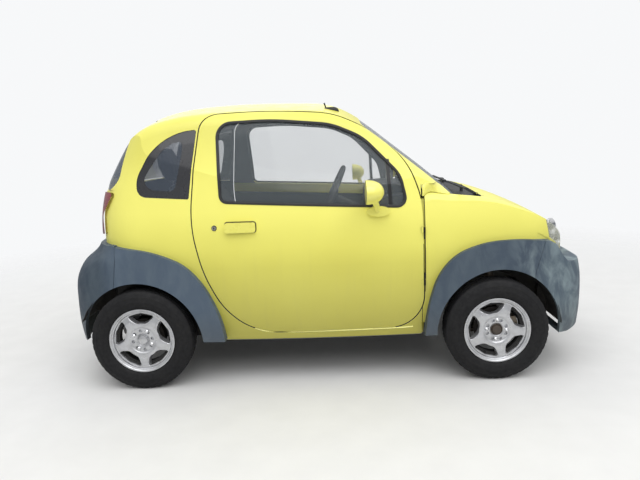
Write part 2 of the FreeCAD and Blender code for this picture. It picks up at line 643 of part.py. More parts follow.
# Floor
FLOOR_LOW = 234.0
FLOOR_TOP = 254.0
FLOOR_FRONT_X = 589.0
HEEL_X = -530.0
HEEL_THICKNESS = 20.0
REAR_FLOOR_LOW = 410.0
REAR_FLOOR_TOP = 430.0
SEAT_RAIL_TOP = 373.7
floor_form = lower_block(DOOR_THICKNESS + SEAT_GAP, BULKHEAD_X - SEAT_GAP, 500)
floor_half = floor_form.common(box(HEEL_X - HEEL_THICKNESS, FLOOR_FRONT_X, 0, 900, FLOOR_LOW, FLOOR_TOP))
rear_floor = floor_form.common(box(CABIN_REAR_X + 2, HEEL_X, 0, 900, REAR_FLOOR_LOW, REAR_FLOOR_TOP))
heel = box(HEEL_X - HEEL_THICKNESS, HEEL_X, 0, 560, FLOOR_TOP - 1, REAR_FLOOR_TOP)
tunnel = box(HEEL_X - 1, FLOOR_FRONT_X, 0, 90, FLOOR_TOP - 1, 300)
seat_rails = [box(HEEL_X - 1, -80, y, y + 30, FLOOR_TOP - 1, SEAT_RAIL_TOP) for y in (200, 450)]
floor_half = fuse_all([floor_half, rear_floor, heel, tunnel] + seat_rails).cut(liners)
sill_rail = box(HEEL_X, 586, 330, 390, 198, FLOOR_LOW + 1)
floor_half = floor_half.fuse(sill_rail)
save(whole(floor_half), "floor_pan")

# Seats: plain cushions, backs and headrests
SEAT_Y = 340.0
SEAT_WIDTH = 440.0
CUSHION_SIDE = [(-505, 374, 40), (-40, 374, 50), (-20, 540, 60), (-440, 500, 20), (-520, 520, 40)]
BACK_SIDE = [(-455, 505, 40), (-560, 480, 40), (-855, 1010, 50), (-742, 1045, 50)]
HEADREST_SIDE = [(-762, 1052, 35), (-852, 1030, 35), (-900, 1205, 40), (-806, 1228, 40)]


def seat_block(points, width, y_centre):
    """Side outline of a cushion over its width."""
    return prism(points, "xz", y_centre - width / 2, y_centre + width / 2)


for side, name in ((1, "left"), (-1, "right")):
    cushion = seat_block(CUSHION_SIDE, SEAT_WIDTH, side * SEAT_Y)
    back = seat_block(BACK_SIDE, SEAT_WIDTH - 20, side * SEAT_Y)
    back = back.cut(grown(CUSHION_SIDE, SEAT_GAP, "xz", side * SEAT_Y - 300, side * SEAT_Y + 300))
    headrest = seat_block(HEADREST_SIDE, 240, side * SEAT_Y)
    stems = [Part.makeCylinder(6, 130, vec(-795, side * SEAT_Y + dy, 985), vec(-0.2, 0, 0.98)) for dy in (-45, 45)]
    save(cushion, "seat_cushion_" + name)
    save(fuse_all([back, headrest] + stems), "seat_back_" + name)

# Dashboard and steering
STEER_CENTRE = vec(40, -340, 925)
STEER_AXIS = vec(0.906, 0, -0.423)
STEER_RIM_RADIUS = 172.0
STEER_GRIP_RADIUS = 13.0
DASH_CLEARANCE = 6.0
DASH_FRONT_X = BULKHEAD_X - SEAT_GAP
dash_points = [(DASH_FRONT_X, 640, 0), (DASH_FRONT_X, 930, 0), (430, 950, 60), (280, 940, 50), (262, 800, 60), (340, 690, 60)]
dash_form = lower_block(DOOR_THICKNESS + DASH_CLEARANCE, DASH_FRONT_X).fuse(
    cabin_block(DOOR_THICKNESS + DASH_CLEARANCE, ROOF_THICKNESS + DASH_CLEARANCE))
dash = whole(dash_form.common(prism(dash_points, "xz", 0, 700)))
binnacle = prism([(250, 900, 0), (440, 900, 0), (420, 985, 50), (262, 1005, 30)], "xz", -470, -210)
dash = dash.fuse(binnacle)
column_start = STEER_CENTRE + STEER_AXIS * 32
column = Part.makeCylinder(26, 260, column_start, STEER_AXIS)
stub = Part.makeCylinder(9.95, 40, STEER_CENTRE + STEER_AXIS * 10, STEER_AXIS)
dash = dash.cut(Part.makeCylinder(26.3, 262, column_start, STEER_AXIS))
save(dash, "dashboard")
save(column.fuse(stub), "steering_column")
grip = Part.makeTorus(STEER_RIM_RADIUS, STEER_GRIP_RADIUS, STEER_CENTRE, STEER_AXIS)
hub = Part.makeCylinder(48, 26, STEER_CENTRE + STEER_AXIS * 0, STEER_AXIS)
across = vec(0, 1, 0)
up_in_plane = vec(0.423, 0, 0.906)
arms = []
for direction in (across, across * -1, up_in_plane * -1):
    base = Part.makeBox(36, 12, STEER_RIM_RADIUS - 4, vec(-18, -6, 0))
    x_dir = direction.cross(STEER_AXIS)
    matrix = FreeCAD.Matrix(x_dir.x, STEER_AXIS.x, direction.x, STEER_CENTRE.x + STEER_AXIS.x * 10,
                            x_dir.y, STEER_AXIS.y, direction.y, STEER_CENTRE.y + STEER_AXIS.y * 10,
                            x_dir.z, STEER_AXIS.z, direction.z, STEER_CENTRE.z + STEER_AXIS.z * 10,
                            0, 0, 0, 1)
    base.transformShape(matrix)
    arms.append(base)
steering_wheel = fuse_all([grip, hub] + arms).cut(
    Part.makeCylinder(10.0, 60, STEER_CENTRE + STEER_AXIS * 8, STEER_AXIS))
save(steering_wheel, "steering_wheel")

# Wheels: rim, tyre and brake on one axle each
RIM_PROFILE = [(167, -56), (167, -52), (152.4, -50), (152.4, -30), (132, -20), (132, 12), (152.4, 26),
               (152.4, 50), (167, 52), (167, 56), (160, 56), (146, 47), (146, 28), (126, 14), (126, -22),
               (146.4, -33), (146.4, -50), (160, -56)]
TYRE_PROFILE = [(152.7, -49.7), (168.5, -49.7), (176, -59), (205, -67.5), (238, -63), (255, -52), (260.5, -40),
                (260.5, 40), (255, 52), (238, 63), (205, 67.5), (176, 59), (168.5, 49.7), (152.7, 49.7),
                (152.7, 40), (170, 40), (205, 56), (235, 52), (247, 40), (247, -40), (235, -52), (205, -56),
                (170, -40), (152.7, -40)]
AXLE_BORE = 12.05
AXLE_PIN = 12.0


def revolve_y(profile):
    """Profile of (radius, y) points turned about the Y axis."""
    points = [vec(r, y, 0) for r, y in profile]
    wire = Part.makePolygon(points + [points[0]])
    return Part.Face(wire).revolve(vec(0, 0, 0), vec(0, 1, 0), 360)


def spoke_face():
    """Five tapered spokes that run from the hub out to the rim barrel."""
    spokes = []
    for k in range(SPOKE_COUNT):
        blade = prism([(-31, 30, 0), (31, 30, 0), (23, 149, 0), (-23, 149, 0)], "xz", 18, 42)
        blade.rotate(vec(0, 0, 0), vec(0, 1, 0), 360.0 / SPOKE_COUNT * k)
        spokes.append(blade)
    disc = Part.makeCylinder(64, 26, vec(0, 18, 0), vec(0, 1, 0))
    face = fuse_all(spokes + [disc])
    dish = revolve_y([(0, 0), (0, 42), (64, 44), (110, 40), (149, 34), (149, 14), (100, 18), (0, 18)])
    return face.common(dish)


def make_rim():
    rim = revolve_y(RIM_PROFILE).fuse(spoke_face())
    cap = Part.makeCylinder(HUB_RADIUS, 12, vec(0, 40, 0), vec(0, 1, 0))
    rim = rim.fuse(cap)
    for k in range(STUD_COUNT):
        angle = 2 * math.pi * k / STUD_COUNT
        rim = rim.cut(cylinder_y(STUD_CIRCLE_RADIUS * math.sin(angle), STUD_CIRCLE_RADIUS * math.cos(angle),
                                 STUD_HOLE_RADIUS, 0, 60))
    return rim.cut(cylinder_y(0, 0, AXLE_BORE, -60, 34))


rim_shape = make_rim()
tyre_shape = revolve_y(TYRE_PROFILE)
DISC_RADIUS = 104.0
DISC_INNER_Y = -26.0
DISC_THICKNESS = 12.0
HUB_HAT_RADIUS = 64.0
HUB_HAT_FACE_Y = 17.7
disc_shape = cylinder_y(0, 0, DISC_RADIUS, DISC_INNER_Y, DISC_INNER_Y + DISC_THICKNESS).fuse(
    cylinder_y(0, 0, HUB_HAT_RADIUS, DISC_INNER_Y, HUB_HAT_FACE_Y)).cut(cylinder_y(0, 0, AXLE_BORE, -60, 60))
drum_shape = cylinder_y(0, 0, 98, -61, -12).fuse(cylinder_y(0, 0, 60, -13, HUB_HAT_FACE_Y)).cut(
    cylinder_y(0, 0, AXLE_BORE, -70, 60))
for name, x_axle, track, brake in (("front", X_FRONT_AXLE, FRONT_TRACK, disc_shape),
                                   ("rear", X_REAR_AXLE, REAR_TRACK, drum_shape)):
    for side in ("left", "right"):
        for label, shape in (("rim", rim_shape), ("tyre", tyre_shape),
                             ("brake_disc" if name == "front" else "brake_drum", brake)):
            piece = shape.copy()
            piece.translate(vec(x_axle, track / 2, TYRE_RADIUS))
            save(piece if side == "left" else mirrored(piece), "_".join((label, name, side)))

# Front knuckles, each with its strut, ball joint and stub axle
BALL = vec(X_FRONT_AXLE, 598, 178)
STRUT_TOP = vec(X_FRONT_AXLE, 520, 572)
BALL_RADIUS = 14.0
CALIPER_RADIUS = 118.0
SOCKET_RADIUS = 19.0
HUB_Y = FRONT_TRACK / 2
king = (STRUT_TOP - BALL).normalize()
strut = Part.makeCylinder(23, 230, STRUT_TOP - king * 230, king)
upright = prism([(X_FRONT_AXLE - 34, 196, 10), (X_FRONT_AXLE + 34, 196, 10), (X_FRONT_AXLE + 26, 372, 10),
                 (X_FRONT_AXLE - 26, 372, 10)], "xz", 548, 592)
carrier = cylinder_y(X_FRONT_AXLE, TYRE_RADIUS, 46, 560, HUB_Y + DISC_INNER_Y - 5)
axle_pin = cylinder_y(X_FRONT_AXLE, TYRE_RADIUS, AXLE_PIN, 590, HUB_Y + 32)
ball = Part.makeSphere(BALL_RADIUS, BALL)
neck = Part.makeCylinder(9, 30, BALL, king)
steer_arm = box(X_FRONT_AXLE - 130, X_FRONT_AXLE - 20, 556, 578, 214, 232)
caliper = box(X_FRONT_AXLE + 73, X_FRONT_AXLE + 120, HUB_Y - 50, HUB_Y - 1, 206, 315)
caliper = caliper.common(cylinder_y(X_FRONT_AXLE, TYRE_RADIUS, CALIPER_RADIUS, 500, 700))
caliper = caliper.cut(cylinder_y(X_FRONT_AXLE, TYRE_RADIUS, DISC_RADIUS + 3, HUB_Y + DISC_INNER_Y - 3,
                                 HUB_Y + DISC_INNER_Y + DISC_THICKNESS + 3))
bracket = box(X_FRONT_AXLE + 20, X_FRONT_AXLE + 85, 575, HUB_Y + DISC_INNER_Y - 8, 240, 280)
knuckle = fuse_all([strut, upright, carrier, axle_pin, ball, neck, steer_arm, bracket, caliper])
save(knuckle, "knuckle_left")
save(mirrored(knuckle), "knuckle_right")

# Subframe with lower arms and ball sockets, and the front frame rails
socket_block = Part.makeCylinder(SOCKET_RADIUS, 22, BALL - vec(0, 0, 17), vec(0, 0, 1))
lower_arm = prism([(X_FRONT_AXLE - 60, 330, 0), (X_FRONT_AXLE + 60, 330, 0), (X_FRONT_AXLE + 16, 600, 10),
                   (X_FRONT_AXLE - 16, 600, 10)], "xy", 162, 176)
cross = box(X_FRONT_AXLE - 70, X_FRONT_AXLE + 70, 0, 340, 158, 214)
subframe = fuse_all([lower_arm, socket_block, cross]).cut(Part.makeSphere(BALL_RADIUS + 0.3, BALL))
subframe = subframe.cut(Part.makeCone(BALL_RADIUS - 2, 26, 40, BALL + vec(0, 0, 4), vec(0, 0, 1)))
subframe = whole(subframe)
rail = box(610.3, 1150, 350, 412, 330, 420).fuse(box(X_FRONT_AXLE - 40, X_FRONT_AXLE + 40, 300, 390, 212, 331))
beam = box(1130, 1180, 0, 470, 330, 420)
save(subframe.fuse(whole(rail.fuse(beam))), "front_subframe")

# Rear axle with trailing arms and stub axles
TRAILING_LEVEL_X = HEEL_X - HEEL_THICKNESS - 10
rear_beam = cylinder_y(X_REAR_AXLE, TYRE_RADIUS, REAR_BEAM_RADIUS, -1, REAR_TRACK / 2 - 72)
back_plate = cylinder_y(X_REAR_AXLE, TYRE_RADIUS, 96, REAR_TRACK / 2 - 74, REAR_TRACK / 2 - 66)
rear_pin = cylinder_y(X_REAR_AXLE, TYRE_RADIUS, AXLE_PIN, REAR_TRACK / 2 - 70, REAR_TRACK / 2 + 32)
trailing = prism([(X_REAR_AXLE, 236, 0), (X_REAR_AXLE, 276, 0), (TRAILING_LEVEL_X, FLOOR_LOW - SEAT_GAP, 0),
                  (-400, FLOOR_LOW - SEAT_GAP, 0), (-400, 212, 8), (-480, 204, 10)], "xz", 430, 470)
damper = Part.makeCylinder(20, REAR_FLOOR_LOW - SEAT_GAP - 270, vec(X_REAR_AXLE + 10, 480, 270), vec(0, 0, 1))
save(whole(fuse_all([rear_beam, back_plate, rear_pin, trailing, damper])), "rear_axle")

# Engine, fuel tank and exhaust
ENGINE_REAR_X = 690.0
engine = box(ENGINE_REAR_X, 1090, -299.7, 299.7, 214.3, 640)
save(engine, "engine_block")
tank = box(-840, HEEL_X - HEEL_THICKNESS - 10, -360, 360, 250, REAR_FLOOR_LOW - SEAT_GAP)
save(tank, "fuel_tank")
PIPE_Y = -120.0
PIPE_Z = 176.0
PIPE_RADIUS = 20.0
SILENCER_X = -1252.0
SILENCER_Z = 204.0


def pipe_run(start, end):
    """One straight run of exhaust pipe with a ball at its end."""
    return Part.makeCylinder(PIPE_RADIUS, (end - start).Length, start, end - start).fuse(
        Part.makeSphere(PIPE_RADIUS, end))


silencer = cylinder_y(SILENCER_X, SILENCER_Z, 45, -300, 240)
pipe_points = [(690, 236), (600, PIPE_Z), (-870, PIPE_Z), (SILENCER_X + 37, SILENCER_Z - 4)]
pipe_points = [vec(x, PIPE_Y, z) for x, z in pipe_points]
runs = [pipe_run(a, b) for a, b in zip(pipe_points, pipe_points[1:])]
pipe = fuse_all(runs).cut(box(ENGINE_REAR_X - SEAT_GAP, 800, -400, 400, 0, 400))
tail_pipe = Part.makeCylinder(17, 100, vec(SILENCER_X - 8, -230, SILENCER_Z - 8), vec(-1, 0, -0.1))
save(fuse_all([pipe, silencer, tail_pipe]), "exhaust")

# Mirrors, handles and aerial
base_oval = Part.Ellipse(vec(270 + 58, 672, 882), vec(270, 672, 882 + 25), vec(270, 672, 882))
base = Part.Face(Part.Wire([base_oval.toShape()])).extrude(vec(0, 30, 0))
# Columns: x, half width, half height
MIRROR_SECTIONS = [(204, 82, 57), (222, 82, 57), (246, 76, 52), (266, 62, 43), (281, 41, 28), (289, 17, 12)]
MIRROR_Y = 782.0
MIRROR_Z = 985.0
rings = []
for x, half_width, half_height in MIRROR_SECTIONS:
    oval = Part.Ellipse(vec(x, MIRROR_Y + half_width, MIRROR_Z), vec(x, MIRROR_Y, MIRROR_Z + half_height),
                        vec(x, MIRROR_Y, MIRROR_Z))
    rings.append(Part.Wire([oval.toShape()]))
head = Part.makeLoft(rings, True, False)
stem = Part.makeCylinder(15, 90, vec(268, 690, 885), vec(-0.25, 0.66, 0.71))
mirror_piece = fuse_all([base, stem, head]).cut(body_solid)
handle = prism([(-489, 801, 12), (-336, 801, 12), (-336, 850, 12), (-489, 850, 12)], "xz", 695, 710)
feet = [box(-486, -464, 670, 697, 810, 842), box(-361, -339, 670, 697, 810, 842)]
lock = cylinder_y(-544, 824, 10, 670, 684)
handle_piece = Part.makeCompound([fuse_all([handle] + feet).cut(body_solid), lock.cut(body_solid)])
for side in ("left", "right"):
    save(mirror_piece if side == "left" else mirrored(mirror_piece), "door_mirror_" + side)
    save(handle_piece if side == "left" else mirrored(handle_piece), "door_handle_" + side)
# Columns: z, half length, half width
AERIAL_SECTIONS = [(1372, 43, 14), (1388, 41, 13), (1396, 33, 10), (1401, 18, 5)]
rings = []
for z, half_length, half_width in AERIAL_SECTIONS:
    oval = Part.Ellipse(vec(53 + half_length, -400, z), vec(53, -400 + half_width, z), vec(53, -400, z))
    rings.append(Part.Wire([oval.toShape()]))
aerial_base = Part.makeLoft(rings, True, False)
aerial = aerial_base.fuse(Part.makeCylinder(4, 30, vec(30, -400, 1394), vec(-0.3, 0, 0.95)))
aerial = aerial.cut(mirrored(cabin_form))
aerial.translate(vec(0, 0, SEAT_GAP))
save(aerial, "aerial")
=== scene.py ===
import math
import bmesh
import bpy
from mathutils import Matrix, Vector
from mathutils.bvhtree import BVHTree


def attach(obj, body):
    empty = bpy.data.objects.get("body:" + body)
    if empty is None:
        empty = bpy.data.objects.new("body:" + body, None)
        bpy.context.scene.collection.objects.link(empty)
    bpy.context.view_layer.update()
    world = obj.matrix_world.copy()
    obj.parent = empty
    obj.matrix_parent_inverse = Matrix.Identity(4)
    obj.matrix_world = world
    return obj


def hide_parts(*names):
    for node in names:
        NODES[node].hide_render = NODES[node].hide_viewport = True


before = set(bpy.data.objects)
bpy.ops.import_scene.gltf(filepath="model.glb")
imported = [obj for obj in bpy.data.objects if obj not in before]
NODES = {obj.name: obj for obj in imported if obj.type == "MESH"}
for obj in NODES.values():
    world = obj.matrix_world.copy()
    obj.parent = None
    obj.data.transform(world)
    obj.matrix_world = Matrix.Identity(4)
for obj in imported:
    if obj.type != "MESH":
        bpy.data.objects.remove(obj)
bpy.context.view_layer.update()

# Sizes shared with the solid model, in metres
X_FRONT = 0.8525
X_REAR = -0.9475
AXLE_Z = 0.2605
FRONT_Y = 0.655
REAR_Y = 0.650
ARCH_REACH = 0.3245
SIDES = ((-1, "right"), (1, "left"))


# Materials
def rgb(red, green, blue):
    """sRGB 0-255 to linear."""
    def lin(v):
        v = v / 255.0
        return v / 12.92 if v <= 0.04045 else ((v + 0.055) / 1.055) ** 2.4
    return (lin(red), lin(green), lin(blue), 1.0)


class Nodes:
    """Short helpers on a shader node tree."""

    def __init__(self, tree, coord):
        self.tree = tree
        self.coord = tree.nodes.new("ShaderNodeTexCoord").outputs[coord]

    def node(self, kind, **values):
        node = self.tree.nodes.new(kind)
        for key, value in values.items():
            if key in node.inputs:
                node.inputs[key].default_value = value
            else:
                setattr(node, key, value)
        return node

    def link(self, source, target):
        self.tree.links.new(source, target)

    def mapped(self, scale):
        mapping = self.node("ShaderNodeMapping")
        mapping.inputs["Scale"].default_value = scale
        self.link(self.coord, mapping.inputs["Vector"])
        return mapping.outputs["Vector"]

    def noise(self, scale, detail=3.0, roughness=0.5, stretch=None, distortion=0.0):
        noise = self.node("ShaderNodeTexNoise", Scale=scale, Detail=detail, Roughness=roughness,
                          Distortion=distortion)
        self.link(self.mapped(stretch) if stretch else self.coord, noise.inputs["Vector"])
        return noise.outputs["Fac"]

    def ramp(self, source, stops):
        ramp = self.node("ShaderNodeValToRGB")
        elements = ramp.color_ramp.elements
        while len(elements) < len(stops):
            elements.new(0.5)
        for element, (place, color) in zip(elements, stops):
            element.position = place
            element.color = color if isinstance(color, tuple) else (color, color, color, 1.0)
        self.link(source, ramp.inputs["Fac"])
        return ramp.outputs["Color"]

    def mix(self, factor, a, b, mode="MIX"):
        mix = self.node("ShaderNodeMix", data_type="RGBA", blend_type=mode)
        for socket, value in ((mix.inputs[0], factor), (mix.inputs[6], a), (mix.inputs[7], b)):
            if isinstance(value, (tuple, float, int)):
                socket.default_value = value
            else:
                self.link(value, socket)
        return mix.outputs[2]

    def math(self, kind, a, b=0.0):
        node = self.node("ShaderNodeMath", operation=kind)
        for socket, value in ((node.inputs[0], a), (node.inputs[1], b)):
            if isinstance(value, (float, int)):
                socket.default_value = value
            else:
                self.link(value, socket)
        return node.outputs[0]

    def axis(self, name, source=None):
        split = self.node("ShaderNodeSeparateXYZ")
        self.link(source if source is not None else self.coord, split.inputs[0])
        return split.outputs[name]

    def spread(self, source, low, high, to_low=0.0, to_high=1.0):
        node = self.node("ShaderNodeMapRange")
        for place, value in zip((1, 2, 3, 4), (low, high, to_low, to_high)):
            node.inputs[place].default_value = value
        self.link(source, node.inputs[0])
        return node.outputs[0]

    def vector(self, kind, a, b=None):
        """Vector operation on sockets or fixed vectors."""
        node = self.node("ShaderNodeVectorMath", operation=kind)
        for socket, value in zip(node.inputs, (a, b)):
            if isinstance(value, tuple):
                socket.default_value = value
            elif value is not None:
                self.link(value, socket)
        return node.outputs["Value" if kind in ("DOT_PRODUCT", "LENGTH") else "Vector"]

    def close_to(self, source, middle, half):
        """1 where the source is less than half away from the middle, else 0."""
        return self.math("LESS_THAN", self.math("ABSOLUTE", self.math("SUBTRACT", source, middle)), half)

    def within(self, source, low, high):
        """1 where the source lies between low and high, else 0."""
        return self.math("MULTIPLY", self.math("GREATER_THAN", source, low),
                         self.math("LESS_THAN", source, high))

    def wave(self, scale, **values):
        wave = self.node("ShaderNodeTexWave", Scale=scale, **values)
        self.link(self.coord, wave.inputs["Vector"])
        return wave.outputs["Fac"]


class Mat(Nodes):
    """Principled material."""

    NAMES = {"metallic": "Metallic", "coat": "Coat Weight", "coat_roughness": "Coat Roughness",
             "sheen": "Sheen Weight", "sheen_roughness": "Sheen Roughness", "specular": "Specular IOR Level"}

    def __init__(self, name):
        self.mat = bpy.data.materials.new(name)
        self.mat.use_nodes = True
        super().__init__(self.mat.node_tree, "Object")
        self.bsdf = self.tree.nodes["Principled BSDF"]

    def value(self, **values):
        for key, value in values.items():
            self.bsdf.inputs[self.NAMES[key]].default_value = value

    def color(self, source):
        self.link(source, self.bsdf.inputs["Base Color"])

    def rough(self, source):
        self.link(source, self.bsdf.inputs["Roughness"])

    def uneven(self, low, high, scale, detail=3.0):
        """Value that wanders between low and high over the surface."""
        return self.spread(self.noise(scale, detail), 0.3, 0.7, low, high)

    def bump(self, source, strength=0.2, distance=0.001):
        bump = self.node("ShaderNodeBump", Strength=strength, Distance=distance)
        self.link(source, bump.inputs["Height"])
        self.link(bump.outputs["Normal"], self.bsdf.inputs["Normal"])

    def grain(self, scale, strength, distance=0.0005):
        self.bump(self.noise(scale, 2.0), strength, distance)


YELLOW = rgb(226, 221, 104)
YELLOW_DEEP = rgb(219, 213, 96)


def paint_color(m):
    """Pale lemon paint with faint cloudiness, rain streaks and dust low down, painted shade darkening it
    towards the bottom and a painted highlight along the upper sides.
    """
    cloud = m.noise(2.2, 4.0)
    base = m.mix(m.ramp(cloud, [(0.35, 0.0), (0.65, 1.0)]), YELLOW, YELLOW_DEEP)
    streak = m.ramp(m.noise(9.0, 4.0, stretch=(4.0, 4.0, 0.18)), [(0.52, 0.0), (0.78, 1.0)])
    low = m.spread(m.axis("Z"), 0.95, 0.25)
    dust = m.math("MULTIPLY", m.math("MULTIPLY", streak, low), 0.10)
    dusty = m.mix(dust, base, rgb(176, 172, 120))
    # Painted shade: the paint turns darker towards the bottom of the sides
    painted_low_shade = m.math("MULTIPLY", m.spread(m.axis("Z"), 0.72, 0.24), 0.62)
    paint_with_painted_shade = m.mix(painted_low_shade, dusty, rgb(132, 125, 54))
    # Painted highlight: the paint turns brighter along the upper sides, fading out towards the roof
    lit = m.math("MULTIPLY", m.spread(m.axis("Z"), 0.62, 0.90), m.spread(m.axis("Z"), 1.30, 1.05))
    return m.mix(m.math("MULTIPLY", lit, 0.75), paint_with_painted_shade, rgb(250, 244, 124))


def make_paint():
    m = Mat("lemon_paint")
    m.color(paint_color(m))
    m.rough(m.uneven(0.24, 0.36, 14.0))
    m.value(coat=0.55, coat_roughness=0.06, specular=0.45)
    m.grain(700.0, 0.05, 0.0004)
    return m.mat


# Masks of the shell's and doors' paint, in metres
CABIN_CENTRE = (-0.30, 0.0, 0.72)
CABIN_STRETCH = (0.35, 1.0, 0.9)
ARCH_SIDE_Y = 0.42
UNDERSIDE_Z = 0.236
HINGE_SLOT_X, HINGE_SLOT_HALF, HINGE_SLOT_Y = 0.4945, 0.0062, 0.6842
# The belt strip falls towards the nose, and the bar of the door window leans back
BELT_SLOPE, BELT_LOW, BELT_HIGH = 0.0558, 0.8560, 0.9170
BAR_LEAN, BAR_X, BAR_HALF, BAR_LOW, BAR_HIGH = 0.052, 0.3808, 0.0095, 0.897, 1.131


def make_shell_paint(name, trim, divider=False):
    """Paint outside, trim on faces that look into the cabin, and dark in arches, below and in hinge slots.

    A divider adds a painted strip along the belt inside and a dark bar across the window.
    """
    m = Mat(name)
    x, z, side = m.axis("X"), m.axis("Z"), m.math("ABSOLUTE", m.axis("Y"))
    outward = m.vector("MULTIPLY", m.vector("SUBTRACT", m.coord, CABIN_CENTRE), CABIN_STRETCH)
    facing = m.vector("DOT_PRODUCT", m.vector("NORMALIZE", outward),
                      m.node("ShaderNodeNewGeometry").outputs["True Normal"])
    inside = m.spread(facing, 0.16, 0.10)
    cloth = m.mix(m.noise(420.0, 2.0), trim, tuple(v * 0.8 for v in trim[:3]) + (1.0,))
    arch = 0.0
    for axle_x in (X_FRONT, X_REAR):
        away = m.math("ADD", m.math("POWER", m.math("SUBTRACT", x, axle_x), 2.0),
                      m.math("POWER", m.math("SUBTRACT", z, AXLE_Z), 2.0))
        arch = m.math("MAXIMUM", arch, m.math("LESS_THAN", away, ARCH_REACH ** 2))
    arch = m.math("MULTIPLY", arch, m.math("GREATER_THAN", side, ARCH_SIDE_Y))
    below = m.math("LESS_THAN", z, UNDERSIDE_Z)
    hinge = m.math("MULTIPLY", m.close_to(x, HINGE_SLOT_X, HINGE_SLOT_HALF),
                   m.math("GREATER_THAN", side, HINGE_SLOT_Y))
    for mask in (arch, below, hinge):
        inside = m.math("MAXIMUM", inside, mask)
    cloth = m.mix(hinge, m.mix(arch, cloth, rgb(24, 23, 22)), rgb(20, 20, 20))
    if divider:
        belt = m.within(m.math("ADD", z, m.math("MULTIPLY", x, BELT_SLOPE)), BELT_LOW, BELT_HIGH)
        inside = m.math("MULTIPLY", inside, m.math("SUBTRACT", 1.0, belt))
    color = m.mix(inside, paint_color(m), cloth)
    if divider:
        bar = m.close_to(m.math("ADD", x, m.math("MULTIPLY", z, BAR_LEAN)), BAR_X, BAR_HALF)
        color = m.mix(m.math("MULTIPLY", bar, m.within(z, BAR_LOW, BAR_HIGH)), color, rgb(26, 26, 28))
    m.color(color)
    m.rough(m.mix(inside, m.uneven(0.34, 0.46, 14.0), (0.85, 0.85, 0.85, 1.0)))
    m.value(coat=0.22, coat_roughness=0.12, specular=0.35)
    m.grain(700.0, 0.06, 0.0004)
    return m.mat


def make_grey_plastic():
    """Slate moulded plastic, chalky with pale blotches towards the nose and darker at the tail."""
    m = Mat("slate_plastic")
    near = m.mix(m.noise(3.0, 4.0), rgb(56, 68, 81), rgb(70, 83, 97))
    rear = m.mix(m.noise(3.0, 4.0), rgb(66, 80, 96), rgb(82, 96, 111))
    sides = m.mix(m.spread(m.axis("X"), 0.0, -0.5), near, rear)
    base = m.mix(m.math("MULTIPLY", m.spread(m.axis("X"), -1.05, -1.16), 0.75), sides, rgb(42, 54, 66))
    front = m.spread(m.axis("X"), 0.90, 1.16)
    blotch = m.noise(13.0, 6.0, 0.62, stretch=(1.0, 1.0, 0.42), distortion=0.6)
    streak = m.ramp(blotch, [(0.42, 0.0), (0.66, 1.0)])
    chalk = m.math("MULTIPLY", streak, m.spread(front, 0.0, 1.0, 0.10, 0.80))
    worn = m.mix(chalk, base, rgb(142, 157, 160))
    fade = m.math("MULTIPLY", m.spread(m.axis("X"), 1.04, 1.12), 0.30)
    grime = m.math("MULTIPLY", m.spread(m.axis("Z"), 0.42, 0.22), 0.35)
    m.color(m.mix(grime, m.mix(fade, worn, rgb(104, 119, 127)), rgb(84, 84, 80)))
    m.rough(m.uneven(0.46, 0.68, 26.0))
    m.value(specular=0.4)
    m.grain(900.0, 0.25)
    return m.mat


def make_plain(name, low, high, roughness, scale=120.0, bump=0.2, **values):
    """Two close shades mixed by noise, with rough and fine relief."""
    m = Mat(name)
    m.color(m.mix(m.noise(scale * 0.2, 4.0), low, high))
    m.rough(m.uneven(roughness * 0.85, min(1.0, roughness * 1.15), scale * 0.5))
    m.value(**values)
    m.grain(scale * 4.0, bump)
    return m.mat


def make_glass(name, tint, thin, thick, roughness=0.03):
    """Thin tinted pane: mostly clear, more mirror-like at a glancing angle."""
    m = Mat(name)
    weight = m.node("ShaderNodeLayerWeight", Blend=0.28)
    smear = m.noise(5.0, 4.0)
    facing = m.spread(weight.outputs["Facing"], 0.0, 1.0, thin, thick)
    m.link(m.math("ADD", facing, m.math("MULTIPLY", smear, 0.03)), m.bsdf.inputs["Alpha"])
    m.color(m.mix(smear, tint, tuple(min(1.0, v * 1.12) for v in tint[:3]) + (1.0,)))
    m.rough(m.spread(smear, 0.3, 0.7, roughness, roughness * 1.6))
    m.value(specular=0.9)
    return m.mat


def make_tyre():
    m = Mat("tyre_rubber")
    dust = m.ramp(m.noise(16.0, 5.0), [(0.42, 0.0), (0.75, 1.0)])
    m.color(m.mix(m.math("MULTIPLY", dust, 0.22), rgb(20, 20, 22), rgb(44, 43, 42)))
    m.rough(m.uneven(0.62, 0.82, 60.0))
    m.value(specular=0.3)
    m.grain(500.0, 0.25, 0.0006)
    return m.mat


def make_alloy():
    m = Mat("silver_alloy")
    grime = m.ramp(m.noise(22.0, 5.0, 0.6), [(0.45, 0.0), (0.8, 1.0)])
    m.color(m.mix(m.math("MULTIPLY", grime, 0.45), rgb(196, 197, 200), rgb(132, 130, 127)))
    m.rough(m.uneven(0.26, 0.42, 45.0))
    m.value(metallic=0.8, coat=0.25, coat_roughness=0.2)
    m.grain(600.0, 0.12)
    return m.mat


WEAVE_SCALE = 315.0


def make_fabric(name, low, high):
    m = Mat(name)
    height = m.math("MULTIPLY", m.wave(WEAVE_SCALE, Distortion=0.6),
                    m.wave(WEAVE_SCALE, Distortion=0.6, bands_direction="Z"))
    m.color(m.mix(m.noise(90.0, 4.0), low, high))
    m.rough(m.spread(height, 0.0, 1.0, 0.85, 0.98))
    m.value(sheen=0.35, sheen_roughness=0.5, specular=0.2)
    m.bump(height, 0.35, 0.0008)
    return m.mat


def make_red_lens():
    m = Mat("red_lens")
    m.color(m.mix(m.noise(30.0, 3.0), rgb(150, 16, 26), rgb(112, 8, 18)))
    m.rough(m.uneven(0.10, 0.2, 60.0, 2.0))
    m.value(coat=0.8, coat_roughness=0.04)
    m.bump(m.wave(42.0, bands_direction="Z"), 0.3)
    return m.mat


